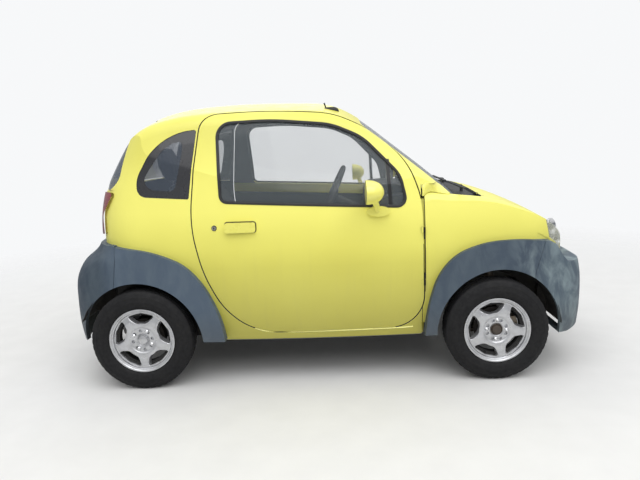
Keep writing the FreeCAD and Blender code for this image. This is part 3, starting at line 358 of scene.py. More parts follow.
def make_lip_highlight_paint():
    """Paint brightened along a rolled edge: a painted highlight."""
    m = Mat("lip_painted_highlight")
    m.color(m.mix(m.noise(30.0, 3.0), rgb(252, 249, 160), rgb(240, 236, 132)))
    m.rough(m.uneven(0.26, 0.40, 60.0))
    m.value(coat=0.4, coat_roughness=0.1)
    m.grain(700.0, 0.05, 0.0004)
    return m.mat


# Middle of the lock barrel, and the line between it and the handle, in metres
LOCK_X, LOCK_Z, LOCK_SIDE_X = -0.544, 0.824, -0.52


def make_handle():
    """Body paint on the handle, bright metal with a key slot on the lock barrel behind it."""
    m = Mat("handle_and_lock")
    lock = m.math("LESS_THAN", m.axis("X"), LOCK_SIDE_X)
    slot = m.math("MULTIPLY", m.close_to(m.axis("X"), LOCK_X, 0.0022), m.close_to(m.axis("Z"), LOCK_Z, 0.0055))
    metal = m.mix(slot, rgb(196, 196, 188), rgb(18, 18, 18))
    m.color(m.mix(lock, paint_color(m), metal))
    m.rough(m.uneven(0.22, 0.34, 40.0))
    m.link(m.math("MULTIPLY", lock, 0.9), m.bsdf.inputs["Metallic"])
    m.value(coat=0.6, coat_roughness=0.08)
    m.grain(700.0, 0.05, 0.0004)
    return m.mat


PAINT = make_paint()
SHELL = make_shell_paint("shell_paint_and_trim", rgb(78, 82, 88))
DOOR = make_shell_paint("door_paint_and_trim", rgb(62, 65, 70), divider=True)
PLASTIC = make_grey_plastic()
BLACK = make_plain("black_plastic", rgb(30, 31, 33), rgb(44, 45, 47), 0.6)
RUBBER = make_plain("black_rubber", rgb(22, 22, 24), rgb(36, 36, 38), 0.55, 200.0)
DARK = make_plain("underbody_black", rgb(26, 25, 24), rgb(48, 45, 41), 0.8, 40.0, 0.5)
CAST = make_plain("cast_metal", rgb(96, 92, 86), rgb(132, 120, 104), 0.55, 60.0, 0.4, metallic=0.7)
ENGINE = make_plain("engine_alloy", rgb(110, 110, 108), rgb(140, 138, 134), 0.5, 30.0, 0.5, metallic=0.6)
EXHAUST = make_plain("exhaust_steel", rgb(96, 86, 76), rgb(130, 122, 114), 0.5, 30.0, 0.4, metallic=0.8)
CHROME = make_plain("bright_metal", rgb(206, 207, 210), rgb(224, 225, 228), 0.14, 60.0, 0.03, metallic=1.0)
REFLECTOR = make_plain("reflector", rgb(150, 149, 138), rgb(190, 189, 178), 0.2, 40.0, 0.05, metallic=0.85)
CABIN_DARK = make_plain("cabin_dark_plastic", rgb(40, 41, 44), rgb(54, 55, 58), 0.7, 160.0, 0.35)
BRAKE = make_plain("brake_iron", rgb(34, 31, 29), rgb(54, 48, 43), 0.7, 60.0, 0.4, metallic=0.3)
BARREL_DARK = make_plain("barrel_shadowed", rgb(30, 30, 31), rgb(46, 45, 44), 0.7, 40.0, 0.2, metallic=0.2)
TYRE = make_tyre()
ALLOY = make_alloy()
SEAT = make_fabric("seat_cloth", rgb(58, 60, 66), rgb(76, 79, 86))
SEAT_SIDE = make_fabric("seat_side_cloth", rgb(40, 41, 45), rgb(52, 54, 58))
RED = make_red_lens()
GLASS = make_glass("window_glass", rgb(150, 160, 166), 0.10, 0.62)
REAR_GLASS = make_glass("rear_glass", rgb(84, 94, 108), 0.30, 0.8)
LENS = make_glass("lamp_lens", rgb(206, 208, 192), 0.12, 0.62, 0.05)
LIP_HIGHLIGHT_PAINT = make_lip_highlight_paint()
HANDLE = make_handle()
CAP_DARK = make_plain("dark_cap", rgb(58, 50, 44), rgb(74, 64, 54), 0.4, 60.0, 0.1)
BORDER = make_plain("glass_border", rgb(34, 35, 39), rgb(42, 43, 47), 0.28, 40.0, 0.05, coat=0.5)
NODE_MATERIALS = (
    (SHELL, "body_shell bonnet front_wings nose_panel"), (DOOR, "door_left door_right"),
    (BLACK, "cowl_panel wipers steering_column aerial"), (PLASTIC, "front_bumper rear_bumper arch_flares"),
    (GLASS, "windscreen door_glass_left door_glass_right"), (REAR_GLASS, "quarter_glass hatch_glass"),
    (LENS, "headlamp_lenses"), (REFLECTOR, "headlamp_bowls"), (RED, "tail_lamps"),
    (DARK, "floor_pan front_subframe rear_axle fuel_tank"), (ENGINE, "engine_block"), (EXHAUST, "exhaust"),
    (CABIN_DARK, "dashboard steering_wheel"), (CAST, "knuckle_left knuckle_right"),
    (PAINT, "door_mirror_left door_mirror_right"), (HANDLE, "door_handle_left door_handle_right"),
    (SEAT, "seat_cushion_left seat_cushion_right seat_back_left seat_back_right"),
    (ALLOY, "rim_front_left rim_front_right rim_rear_left rim_rear_right"),
    (TYRE, "tyre_front_left tyre_front_right tyre_rear_left tyre_rear_right"),
    (BRAKE, "brake_disc_front_left brake_disc_front_right brake_drum_rear_left brake_drum_rear_right"),
)
for material, names in NODE_MATERIALS:
    for name in names.split():
        for slot in NODES[name].material_slots:
            slot.material = material


# Mesh helpers
def add_object(name, data):
    """New object in the scene for a mesh, a light or a camera."""
    obj = bpy.data.objects.new(name, data)
    bpy.context.scene.collection.objects.link(obj)
    return obj


def new_object(name, vertices, faces, material):
    mesh = bpy.data.meshes.new(name)
    mesh.from_pydata(vertices, [], faces)
    mesh.validate()
    mesh.materials.append(material)
    mesh.shade_smooth()
    return add_object(name, mesh)


def mesh_of(bm, name):
    """Mesh made from a bmesh, which is freed."""
    mesh = bpy.data.meshes.new(name)
    bm.to_mesh(mesh)
    bm.free()
    return mesh


def grid_faces(rows, columns, closed=False):
    """Quads between neighbouring rows of points. Closed rows join their last point to their first."""
    faces = []
    for r in range(rows - 1):
        for c in range(columns if closed else columns - 1):
            n = (c + 1) % columns
            faces.append((r * columns + c, r * columns + n, (r + 1) * columns + n, (r + 1) * columns + c))
    return faces


def tube_faces(rows, columns):
    """Quads round a tube of closed rows, and a cap at either end."""
    last = (rows - 1) * columns
    caps = [tuple(reversed(range(columns))), tuple(range(last, last + columns))]
    return grid_faces(rows, columns, True) + caps


def about_y(radius, angle, y):
    """Point at a radius and an angle from above, about the Y axis."""
    return radius * math.sin(angle), y, radius * math.cos(angle)


def spline(p0, p1, p2, p3, t):
    """Point at a share of the way from p1 to p2 on a smooth curve through all four."""
    return 0.5 * (2 * p1 + (p2 - p0) * t + (2 * p0 - 5 * p1 + 4 * p2 - p3) * t * t
                  + (3 * p1 - p0 - 3 * p2 + p3) * t ** 3)


def soften(obj, width, segments=2, angle=35):
    """Rounded edges on a hard form."""
    bevel = obj.modifiers.new("edges", "BEVEL")
    bevel.width = width
    bevel.segments = segments
    bevel.limit_method = "ANGLE"
    bevel.angle_limit = math.radians(angle)
    normals = obj.modifiers.new("normals", "WEIGHTED_NORMAL")
    normals.keep_sharp = True
    return obj


# Wheels
SPOKES = 5
HALF_SECTOR = math.pi / SPOKES
WINDOW_INNER = 0.089
WINDOW_OUTER = 0.1425
WINDOW_CORNER = 0.013
WINDOW_MIDDLE = (WINDOW_INNER + WINDOW_OUTER) / 2
WINDOW_HALF = (WINDOW_OUTER - WINDOW_INNER) / 2
WALL_SLOPE = 0.006
FACE_BACK = 0.014
EDGE_ROUND = 0.005
# Face of the wheel: radius, height above the middle of the wheel
FACE_PROFILE = [(0.0, 0.034), (0.030, 0.034), (0.036, 0.0375), (0.064, 0.0385), (0.069, 0.0425),
                (0.076, 0.0440), (0.090, 0.0440), (0.110, 0.0425), (0.130, 0.0390), (0.140, 0.0370),
                (0.1465, 0.0375)]


def face_height(radius):
    for (r0, h0), (r1, h1) in zip(FACE_PROFILE, FACE_PROFILE[1:]):
        if radius <= r1:
            t = (radius - r0) / (r1 - r0)
            t = t * t * (3 - 2 * t)
            return h0 + (h1 - h0) * t
    return FACE_PROFILE[-1][1]


def window_edge(radius):
    """Angle from a spoke's middle to the window's edge at a radius."""
    t = (radius - WINDOW_MIDDLE) / WINDOW_HALF
    if abs(t) >= 1:
        return HALF_SECTOR
    half = math.radians(15.0 + 12.5 * (1 - ((1 - t) / 2) ** 2))
    corner = max(0.0, abs(t) * WINDOW_HALF - WINDOW_HALF + WINDOW_CORNER)
    drawn_in = WINDOW_CORNER - math.sqrt(max(0.0, WINDOW_CORNER ** 2 - corner ** 2))
    return HALF_SECTOR - half + drawn_in / radius


def wheel_face():
    """Star of five spokes with windows, as a shell with walls, drawn about the Y axis."""
    bm = bmesh.new()
    radii = [0.0, 0.012, 0.024, 0.030, 0.033, 0.036, 0.045, 0.055, 0.064, 0.0665, 0.069, 0.076, 0.083, 0.087]
    steps = 22
    for i in range(steps + 1):
        t = -math.cos(math.pi * i / steps)
        radii.append(WINDOW_MIDDLE + t * WINDOW_HALF)
    radii += [0.1435, 0.1465]
    columns = [0.0, 0.15, 0.3, 0.45, 0.6, 0.72, 0.82, 0.90, 0.955, 1.0]
    rows = []
    for radius in radii:
        edge = window_edge(radius)
        line = []
        for sector in range(SPOKES):
            middle = 2 * HALF_SECTOR * sector
            for sign, order in ((-1, reversed(columns)), (1, columns[1:])):
                for u in order:
                    angle = middle + sign * u * edge
                    height = face_height(radius)
                    if edge < HALF_SECTOR - 1e-6:
                        gap = (1 - u) * edge * radius
                        if gap < EDGE_ROUND:
                            drop = math.sqrt(max(0.0, EDGE_ROUND ** 2 - (EDGE_ROUND - gap) ** 2))
                            height -= EDGE_ROUND - drop
                    height += 0.0030 * math.cos(angle * SPOKES) * min(1.0, max(0.0, (radius - 0.07) / 0.04))
                    line.append((angle, radius, height))
        rows.append(line)
    count = len(rows[0])
    front = [[bm.verts.new(about_y(r, a, h)) for a, r, h in line] for line in rows]
    back = []
    for line in rows:
        edge = window_edge(line[0][1])
        behind = []
        for a, r, h in line:
            if edge < HALF_SECTOR - 1e-6:
                middle = round(a / (2 * HALF_SECTOR)) * 2 * HALF_SECTOR
                a = middle + (a - middle) * min(HALF_SECTOR * 0.999, edge + WALL_SLOPE / r) / edge
            behind.append(bm.verts.new(about_y(r, a, FACE_BACK + 0.004 * (r > 0.1435))))
        back.append(behind)
    per = count // SPOKES
    for i in range(len(rows) - 1):
        inner_open = window_edge(radii[i]) < HALF_SECTOR - 1e-6
        outer_open = window_edge(radii[i + 1]) < HALF_SECTOR - 1e-6
        for j in range(count):
            k = (j + 1) % count
            gap = j % per == per - 1
            if gap and (inner_open or outer_open):
                continue
            bm.faces.new((front[i][j], front[i][k], front[i + 1][k], front[i + 1][j]))
            bm.faces.new((back[i][k], back[i][j], back[i + 1][j], back[i + 1][k]))
        if inner_open or outer_open:
            for sector in range(SPOKES):
                a = sector * per + per - 1
                b = (a + 1) % count
                bm.faces.new((front[i][a], back[i][a], back[i + 1][a], front[i + 1][a]))
                bm.faces.new((back[i][b], front[i][b], front[i + 1][b], back[i + 1][b]))
    last = len(rows) - 1
    for j in range(count):
        k = (j + 1) % count
        bm.faces.new((front[last][k], back[last][k], back[last][j], front[last][j]))
    bmesh.ops.remove_doubles(bm, verts=bm.verts, dist=1e-6)
    bmesh.ops.dissolve_degenerate(bm, edges=bm.edges, dist=1e-6)
    bmesh.ops.recalc_face_normals(bm, faces=bm.faces)
    return mesh_of(bm, "face")


def lathe(profile, segments, close=False):
    """Vertices and faces of a profile of (radius, y) points turned about the Y axis."""
    vertices = []
    faces = []
    count = len(profile)
    for s in range(segments):
        angle = 2 * math.pi * s / segments
        for radius, y in profile:
            vertices.append(about_y(radius, angle, y))
    for s in range(segments):
        n = (s + 1) % segments
        for i in range(count if close else count - 1):
            j = (i + 1) % count
            faces.append((s * count + i, n * count + i, n * count + j, s * count + j))
    return vertices, faces


# Outer lip, then the barrel behind it: radius, y
LIP = [(0.1465, 0.0180), (0.1465, 0.0375), (0.1480, 0.0400), (0.1500, 0.0470), (0.1530, 0.0490),
       (0.1560, 0.0500), (0.1580, 0.0535), (0.1610, 0.0558), (0.1645, 0.0560), (0.1668, 0.0548),
       (0.1670, 0.0520), (0.1660, 0.0505), (0.1526, 0.0490)]
BARREL = [(0.1524, 0.0300), (0.1330, 0.0200), (0.1325, -0.0200), (0.1524, -0.0300), (0.1524, -0.0500),
          (0.1665, -0.0510), (0.1670, -0.0545), (0.1640, -0.0558), (0.1600, -0.0550), (0.1490, -0.0480),
          (0.1466, -0.0330), (0.1262, -0.0215), (0.1262, 0.0150), (0.1300, 0.0180), (0.1465, 0.0180)]
STUDS = 8
STUD_CIRCLE = 0.050


def cut(obj, cutter, operation="DIFFERENCE"):
    """Takes the cutter's form out of an object's mesh, or keeps only what both share."""
    boolean = obj.modifiers.new("cut", "BOOLEAN")
    boolean.operation = operation
    boolean.solver = "EXACT"
    boolean.object = cutter
    graph = bpy.context.evaluated_depsgraph_get()
    mesh = bpy.data.meshes.new_from_object(obj.evaluated_get(graph))
    obj.modifiers.clear()
    obj.data = mesh
    bpy.data.objects.remove(cutter)


def cone(bm, place, segments, radius1, radius2, depth):
    """Closed cone about the place's Y axis."""
    bmesh.ops.create_cone(bm, segments=segments, radius1=radius1, radius2=radius2, depth=depth, cap_ends=True,
                          matrix=place @ Matrix.Rotation(math.radians(-90), 4, "X"))


def make_face_mesh():
    """The alloy's face with its stud holes."""
    face = add_object("alloy_face", wheel_face())
    face.data.materials.append(ALLOY)
    bm = bmesh.new()
    for k in range(STUDS):
        place = Matrix.Translation(about_y(STUD_CIRCLE, 2 * math.pi * k / STUDS, 0.040))
        cone(bm, place, 24, 0.0090, 0.0098, 0.030)
    cut(face, add_object("holes", mesh_of(bm, "holes")))
    face.data.shade_smooth()
    mesh = face.data
    bpy.data.objects.remove(face)
    return mesh


FACE_MESH = make_face_mesh()
FACE_MESH.set_sharp_from_angle(angle=math.radians(38))


def turned(name, profile, segments, material, close=False):
    vertices, faces = lathe(profile, segments, close=close)
    obj = new_object(name, vertices, faces, material)
    obj.data.set_sharp_from_angle(angle=math.radians(40))
    return obj


# Half of the tyre, from the bead out to the middle of the tread: radius, y
TYRE_SIDE = [(0.1530, 0.0480), (0.1680, 0.0508), (0.1715, 0.0545), (0.1735, 0.0560), (0.1760, 0.0588),
             (0.1850, 0.0622), (0.1960, 0.0655), (0.2060, 0.0672), (0.2085, 0.0676), (0.2105, 0.0668),
             (0.2200, 0.0655), (0.2290, 0.0630), (0.2310, 0.0638), (0.2340, 0.0622), (0.2430, 0.0580),
             (0.2500, 0.0540), (0.2535, 0.0515)]
TREAD = [(0.2560, 0.0490), (0.2585, 0.0460), (0.2590, 0.0440), (0.2592, 0.0290), (0.2545, 0.0280),
         (0.2545, 0.0240), (0.2597, 0.0230), (0.2600, 0.0060), (0.2550, 0.0050), (0.2550, 0.0)]
TYRE_SEGMENTS = 192


def tyre_mesh():
    """Carcass with raised sidewall ribs, three tread grooves and cross cuts in shoulders and ribs."""
    half = TYRE_SIDE + TREAD
    profile = half + [(r, -y) for r, y in reversed(half[:-1])]
    vertices, faces = lathe(profile, TYRE_SEGMENTS)
    count = len(profile)
    shoulder = [i for i, (r, y) in enumerate(profile) if 0.2500 <= r and abs(y) >= 0.0290]
    rib = [i for i, (r, y) in enumerate(profile) if r > 0.2590 and abs(y) < 0.0290]
    moved = []
    for index, (x, y, z) in enumerate(vertices):
        segment, place = divmod(index, count)
        radius = math.hypot(x, z)
        drop = 0.0
        if place in shoulder and (segment + (2 if y > 0 else 0)) % 4 == 0:
            drop = 0.0016
        if place in rib and segment % 8 == 4:
            drop = 0.0030
        scale = (radius - drop) / radius
        moved.append((x * scale, y, z * scale))
    return moved, faces


TYRE_VERTICES, TYRE_FACES = tyre_mesh()


NUT_RADIUS = 0.0100
NUT_HEIGHT = 0.014


def hexagon_nut(bm, place):
    """Hexagon with a short cone on top."""
    cone(bm, place, 6, NUT_RADIUS, NUT_RADIUS, NUT_HEIGHT)
    top = place @ Matrix.Translation((0, NUT_HEIGHT / 2 + 0.002, 0))
    cone(bm, top, 16, NUT_RADIUS * 0.93, NUT_RADIUS * 0.55, 0.004)


# Hub cap and valve: radius, y
HUB_CAP = [(0.0, 0.0468), (0.010, 0.0464), (0.018, 0.0450), (0.0225, 0.0430), (0.0235, 0.0395),
           (0.0245, 0.0380), (0.0255, 0.0400), (0.0278, 0.0410), (0.0290, 0.0395), (0.0295, 0.0330)]
VALVE = [(0.0, 0.030), (0.0028, 0.030), (0.0030, 0.024), (0.0042, 0.023), (0.0044, 0.0), (0.0060, -0.004),
         (0.0060, -0.008)]
VALVE_CIRCLE = 0.133
NUT_Y = 0.0335


def wheel(end, side, phase, nut_phase, valve_angle, cap_material):
    """All pieces of one wheel, in place and riding on its body. Angles are in degrees."""
    x, y = (X_FRONT, FRONT_Y) if end == "front" else (X_REAR, REAR_Y)
    tag = "%s_%s" % (end, side)
    place = Matrix.Translation((x, y if side == "left" else -y, AXLE_Z))
    if side == "right":
        place = place @ Matrix.Rotation(math.pi, 4, "Z")
    spin = place @ Matrix.Rotation(math.radians(phase), 4, "Y")
    face = add_object("alloy_face_" + tag, FACE_MESH)
    barrel = turned("alloy_barrel_" + tag, BARREL, 72, BARREL_DARK, close=True)
    lip = turned("alloy_lip_" + tag, LIP, 128, ALLOY)
    tyre = new_object("tyre_tread_" + tag, TYRE_VERTICES, TYRE_FACES, TYRE)
    tyre.data.set_sharp_from_angle(angle=math.radians(30))
    bm = bmesh.new()
    for k in range(4):
        angle = math.radians(nut_phase) + math.pi / 2 * k
        hexagon_nut(bm, Matrix.Translation(about_y(STUD_CIRCLE, angle, NUT_Y)))
    nuts = add_object("wheel_nuts_" + tag, mesh_of(bm, "wheel_nuts_" + tag))
    nuts.data.materials.append(CHROME)
    cap = turned("hub_cap_" + tag, HUB_CAP, 48, cap_material)
    valve = turned("valve_" + tag, VALVE, 16, RUBBER)
    valve_place = Matrix.Translation(about_y(VALVE_CIRCLE, math.radians(valve_angle), FACE_BACK))
    for piece, matrix in ((face, spin), (barrel, place), (lip, place), (tyre, place), (nuts, spin),
                          (cap, place), (valve, place @ valve_place)):
        piece.matrix_world = matrix
        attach(piece, "wheel_" + tag)
    for piece in (face, barrel, lip):
        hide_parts("rim_" + tag)
    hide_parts("tyre_" + tag)


for side in ("right", "left"):
    wheel("front", side, -24, 20, 158, CAP_DARK)
    wheel("rear", side, -36, 8, 0, ALLOY)


# Strips laid on the body along an outline
def tree_of(*names):
    """Ray target made of some CAD nodes."""
    bm = bmesh.new()
    for name in names:
        bm.from_mesh(NODES[name].data)
    tree = BVHTree.FromBMesh(bm)
    bm.free()
    return tree


def rounded(points, step=0.012):
    """Closed outline of lines and arcs. Each point is (x, z, corner radius) in millimetres."""
    result = []
    count = len(points)
    corners = [Vector((p[0] / 1000, p[1] / 1000)) for p in points]
    for i in range(count):
        before, corner, after = corners[i - 1], corners[i], corners[(i + 1) % count]
        radius = points[i][2] / 1000
        to_before = (before - corner).normalized()
        to_after = (after - corner).normalized()
        if radius <= 0:
            result.append(corner)
            continue
        half = to_before.angle(to_after) / 2
        reach = radius / math.tan(half)
        centre = corner + (to_before + to_after).normalized() * (radius / math.sin(half))
        start = corner + to_before * reach
        end = corner + to_after * reach
        a0 = math.atan2(start.y - centre.y, start.x - centre.x)
        a1 = math.atan2(end.y - centre.y, end.x - centre.x)
        turn = (a1 - a0 + math.pi) % (2 * math.pi) - math.pi
        steps = max(3, int(abs(turn) * radius / step))
        for k in range(steps + 1):
            angle = a0 + turn * k / steps
            result.append(centre + Vector((math.cos(angle), math.sin(angle))) * radius)
    dense = []
    for i, point in enumerate(result):
        following = result[(i + 1) % len(result)]
        dense.append(point)
        gap = (following - point).length
        for k in range(1, int(gap / (step * 2)) + 1):
            dense.append(point.lerp(following, k / (int(gap / (step * 2)) + 1)))
    return dense


def offset_line(points, distance):
    """Closed outline moved inward (positive) or outward."""
    area = sum(a.x * b.y - b.x * a.y for a, b in zip(points, points[1:] + points[:1]))
    sign = 1 if area > 0 else -1
    moved = []
    for i, point in enumerate(points):
        tangent = (points[(i + 1) % len(points)] - points[i - 1]).normalized()
        moved.append(point + Vector((-tangent.y, tangent.x)) * (distance * sign))
    return moved


def cast_side(tree, x, z, side, lift=0.0):
    """Point of the outer skin at x, z on one side, lifted off it."""
    hit, normal = tree.ray_cast(Vector((x, side * 2.0, z)), Vector((0, -side, 0)))[:2]
    if hit is None:
        return None
    if normal.y * side < 0:
        normal = -normal
    return hit + normal * lift


def band(name, outline_points, profile, side, tree, material, body):
    """Strip swept along an outline on the car's side. Profile rows are (inward offset, lift) in metres."""
    rows = []
    for inset, lift in profile:
        line = []
        for point in offset_line(outline_points, inset):
            place = cast_side(tree, point.x, point.y, side)
            line.append(place + Vector((0, side * lift, 0)) if place else None)
        rows.append(line)
    count = len(outline_points)
    vertices = []
    index = {}
    for r, line in enumerate(rows):
        for i, place in enumerate(line):
            if place is not None:
                index[r, i] = len(vertices)
                vertices.append(tuple(place))
    faces = []
    for r in range(len(rows) - 1):
        for i in range(count):
            j = (i + 1) % count
            keys = ((r, i), (r, j), (r + 1, j), (r + 1, i))
            if all(k in index for k in keys):
                faces.append(tuple(index[k] for k in keys))
    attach(new_object(name, vertices, faces, material), body)


# Bumpers and arch flares: one outer form of rings, cut along its outlines
# Columns, in millimetres: z, x of nose, x of tail, half width, then the radii of the
# nose, tail, side, front corner and rear corner arcs
WRAP_ROWS = [
    (215, 1362, -1358, 723, 4500, 4500, 9000, 215, 240),
    (330, 1367.5, -1367.5, 735, 4500, 4500, 9000, 205, 232),
    (470, 1367.5, -1367.5, 737.5, 4500, 4500, 9000, 203, 230),
    (550, 1360, -1362, 735, 4500, 4500, 9000, 212, 234),
    (610, 1345, -1340, 732, 4500, 4500, 9000, 215, 240), (660, 1330, -1308, 728, 4500, 4000, 9000, 220, 250),
    (700, 1318, -1262, 723, 4500, 3400, 9000, 230, 260), (730, 1305, -1240, 718, 4500, 3000, 9000, 240, 265),
    (800, 1280, -1215, 706, 4500, 2600, 9000, 250, 270),
]
BODY_ROWS = [
    (232, 1243, -1182, 659, 2600, 2200, 9000, 330, 260), (400, 1275, -1200, 694, 2600, 2200, 8000, 330, 270),
    (600, 1305, -1215, 705, 2400, 2200, 7500, 330, 280), (790, 1285, -1225, 699, 2200, 2200, 7000, 320, 280),
    (960, 1180, -1212, 676, 2000, 2200, 6500, 300, 280),
]
FLARE_FRONT = [(492, 245, 0), (508, 400, 800), (560, 560, 300), (650, 655, 260), (790, 705, 550),
               (960, 713, 1100), (1100.5, 699, 0), (1049.5, 541, 0), (1049.5, 245, 0)]
FLARE_REAR = [(-520, 245, 0), (-534, 370, 550), (-612, 545, 450), (-708, 646, 270), (-866, 713, 700),
              (-1066, 737, 0), (-1059, 669, 0), (-1075, 541, 0), (-1075, 245, 0)]
FRONT_BUMPER = [(1102, 699, 0), (1134, 695, 0), (1160, 678, 0), (1200, 615, 60), (1228, 583, 20),
                (1450, 580, 0), (1450, 262, 0), (1190, 205, 0), (1051, 205, 0), (1051, 541, 0)]
REAR_BUMPER = [(-1068, 742, 0), (-1450, 742, 0), (-1450, 228, 0), (-1077, 228, 0), (-1077, 541, 0),
               (-1061, 669, 0)]
# Arch edges: x, z and radius in millimetres
ARCH_EDGES = [(870, 250, 318), (-958, 230, 326)]
# Thickness of the bumpers, how far the mouldings reach into the body, and the finer and coarser
# steps in height of the rings, in millimetres
WALL = 26.0
SUNK = 12.0
FINE, COARSE = 13, 30
# Middle of the sides' arcs in x, and points on each arc from nose to tail
SIDE_X = -40
ARC_STEPS = (12, 14, 26, 14, 10)


def ring_line(row, inset):
    """Points of one horizontal section of the form, all the way round."""
    z, nose, tail, half, r_nose, r_tail, r_side, r_front, r_rear = row
    nose, tail, half = nose - inset, tail + inset, half - inset
    r_nose, r_tail, r_side, r_front, r_rear = (r - inset for r in (r_nose, r_tail, r_side, r_front, r_rear))
    c_nose, c_tail = Vector((nose - r_nose, 0)), Vector((tail + r_tail, 0))
    c_side = Vector((SIDE_X, half - r_side))

    def corner(c1, r1, radius, ahead):
        d1, d2 = r1 - radius, r_side - radius
        across = c_side - c1
        gap = across.length
        along = (d1 * d1 - d2 * d2 + gap * gap) / (2 * gap)
        off = math.sqrt(d1 * d1 - along * along)
        middle = c1 + across * (along / gap)
        turned_across = Vector((-across.y, across.x)) * (off / gap)
        return max((middle + turned_across, middle - turned_across),
                   key=lambda p: (p.x if ahead else -p.x) + p.y)

    c_front, c_rear = corner(c_nose, r_nose, r_front, True), corner(c_tail, r_tail, r_rear, False)

    def touch(centre, radius, toward):
        return centre + (toward - centre).normalized() * radius

    ends = [Vector((nose, 0)), touch(c_nose, r_nose, c_front), touch(c_side, r_side, c_front),
            touch(c_side, r_side, c_rear), touch(c_tail, r_tail, c_rear), Vector((tail, 0))]
    centres = [c_nose, c_front, c_side, c_rear, c_tail]
    line = []
    for k, (centre, steps) in enumerate(zip(centres, ARC_STEPS)):
        start, end = ends[k] - centre, ends[k + 1] - centre
        for i in range(steps):
            turn = start.lerp(end, i / steps).normalized() * start.length
            line.append(centre + turn)
    line.append(ends[-1])
    mirrored = [Vector((p.x, -p.y)) for p in reversed(line[1:-1])]
    return [(p.x / 1000, p.y / 1000, z / 1000) for p in line + mirrored]


def between(rows, z):
    """Row of the table at a height, on a smooth curve through its rows."""
    for i in range(len(rows) - 1):
        if rows[i][0] <= z <= rows[i + 1][0]:
            before, a, b, after = rows[max(i - 1, 0)], rows[i], rows[i + 1], rows[min(i + 2, len(rows) - 1)]
            t = (z - a[0]) / (b[0] - a[0])
            result = [z]
            for k in range(1, len(a)):
                slope_a = (b[k] - before[k]) / (b[0] - before[0]) * (b[0] - a[0])
                slope_b = (after[k] - a[k]) / (after[0] - a[0]) * (b[0] - a[0])
                result.append(a[k] * (2 * t ** 3 - 3 * t * t + 1) + slope_a * (t ** 3 - 2 * t * t + t)
                              + b[k] * (3 * t * t - 2 * t ** 3) + slope_b * (t ** 3 - t * t))
            return tuple(result)
    return rows[-1]


def solid(name, vertices, faces, material=None):
    """Plain closed mesh object, for cutting."""
    mesh = bpy.data.meshes.new(name)
    mesh.from_pydata(vertices, [], faces)
    bm = bmesh.new()
    bm.from_mesh(mesh)
    bmesh.ops.recalc_face_normals(bm, faces=bm.faces)
    bm.to_mesh(mesh)
    bm.free()
    if material:
        mesh.materials.append(material)
    return add_object(name, mesh)


def ring_solid(name, rows, inset, material, step=FINE):
    """Closed form lofted through the rings of a table."""
    low, high = rows[0][0], rows[-1][0]
    levels = int((high - low) / step) + 1
    lines = [ring_line(between(rows, low + (high - low) * k / levels), inset) for k in range(levels + 1)]
    vertices = [p for line in lines for p in line]
    return solid(name, vertices, tube_faces(levels + 1, len(lines[0])), material)


def slab(name, points, y0, y1, material=None):
    """Side outline (x, z, corner radius) in millimetres extruded from y0 to y1, in metres."""
    line = rounded(points)
    vertices = [(p.x, y, p.y) for y in (y0, y1) for p in line]
    return solid(name, vertices, tube_faces(2, len(line)), material)


def drum(name, x, z, radius, y0, y1, segments=128):
    """Cylinder along Y, sizes in metres."""
    turns = [2 * math.pi * k / segments for k in range(segments)]
    vertices = [(x + radius * math.cos(a), y, z + radius * math.sin(a)) for y in (y0, y1) for a in turns]
    return solid(name, vertices, tube_faces(2, segments))


def cut_arches(piece):
    for x, z, radius in ARCH_EDGES:
        for y0, y1 in ((0.43, 0.90), (-0.90, -0.43)):
            cut(piece, drum("arch", x / 1000, z / 1000, radius / 1000, y0, y1))


def finish_moulding(piece, node):
    """Takes the body's form out of a moulding, rounds its edges and puts it in the node's place."""
    cut(piece, ring_solid("body", BODY_ROWS, SUNK, PLASTIC, COARSE))
    if node != "arch_flares":
        cut_arches(piece)
    piece.data.shade_smooth()
    piece.data.set_sharp_from_angle(angle=math.radians(32))
    soften(piece, 0.004, 3, 32)
    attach(piece, "root")
    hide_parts(node)


def bumper(node, points):
    """Wall along the outer form with a shelf on top that reaches the body."""
    piece = ring_solid(node + "_moulding", WRAP_ROWS, 0.0, PLASTIC)
    cut(piece, slab("outline", points, -0.95, 0.95), "INTERSECT")
    hollow = ring_solid("hollow", WRAP_ROWS, WALL, PLASTIC, COARSE)
    lowered = [(x, z - 14 if z > 500 else z - 20, r) for x, z, r in points]
    cut(hollow, slab("lowered", lowered, -0.94, 0.94), "INTERSECT")
    cut(piece, hollow)
    finish_moulding(piece, node)


def flare(name, points, side):
    """Arch flare: the outer form inside the outline, outside the arch."""
    piece = slab(name, points, side * 0.57, side * 0.95, PLASTIC)
    cut_arches(piece)
    cut(piece, ring_solid("wrap", WRAP_ROWS, 0.0, PLASTIC), "INTERSECT")
    finish_moulding(piece, "arch_flares")


bumper("front_bumper", FRONT_BUMPER)
bumper("rear_bumper", REAR_BUMPER)
for side, label in SIDES:
    flare("flare_front_" + label, FLARE_FRONT, side)
    flare("flare_rear_" + label, FLARE_REAR, side)


# Body-coloured return between the wing's edge and the bumper moulding
WING_RETURN = [(1030, 560, 0), (1066, 745, 0), (1110, 728, 0), (1196, 672, 0), (1236, 596, 0), (1236, 560, 0)]
for side, label in SIDES:
    piece = slab("wing_return_" + label, WING_RETURN, side * 0.40, side * 0.90, PAINT)
    cut_arches(piece)
    cut(piece, ring_solid("outer", BODY_ROWS, 1.5, PAINT), "INTERSECT")
    cut(piece, ring_solid("inner", BODY_ROWS, 5.0, PAINT, COARSE))
    piece.data.shade_smooth()
    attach(piece, "root")


# Dark liners ahead of the front wheels and behind the rear ones
# Columns: index in ARCH_EDGES, first and last angle from ahead, in degrees
LINERS = {"front": (0, 4, 100), "rear": (1, 70, 158)}
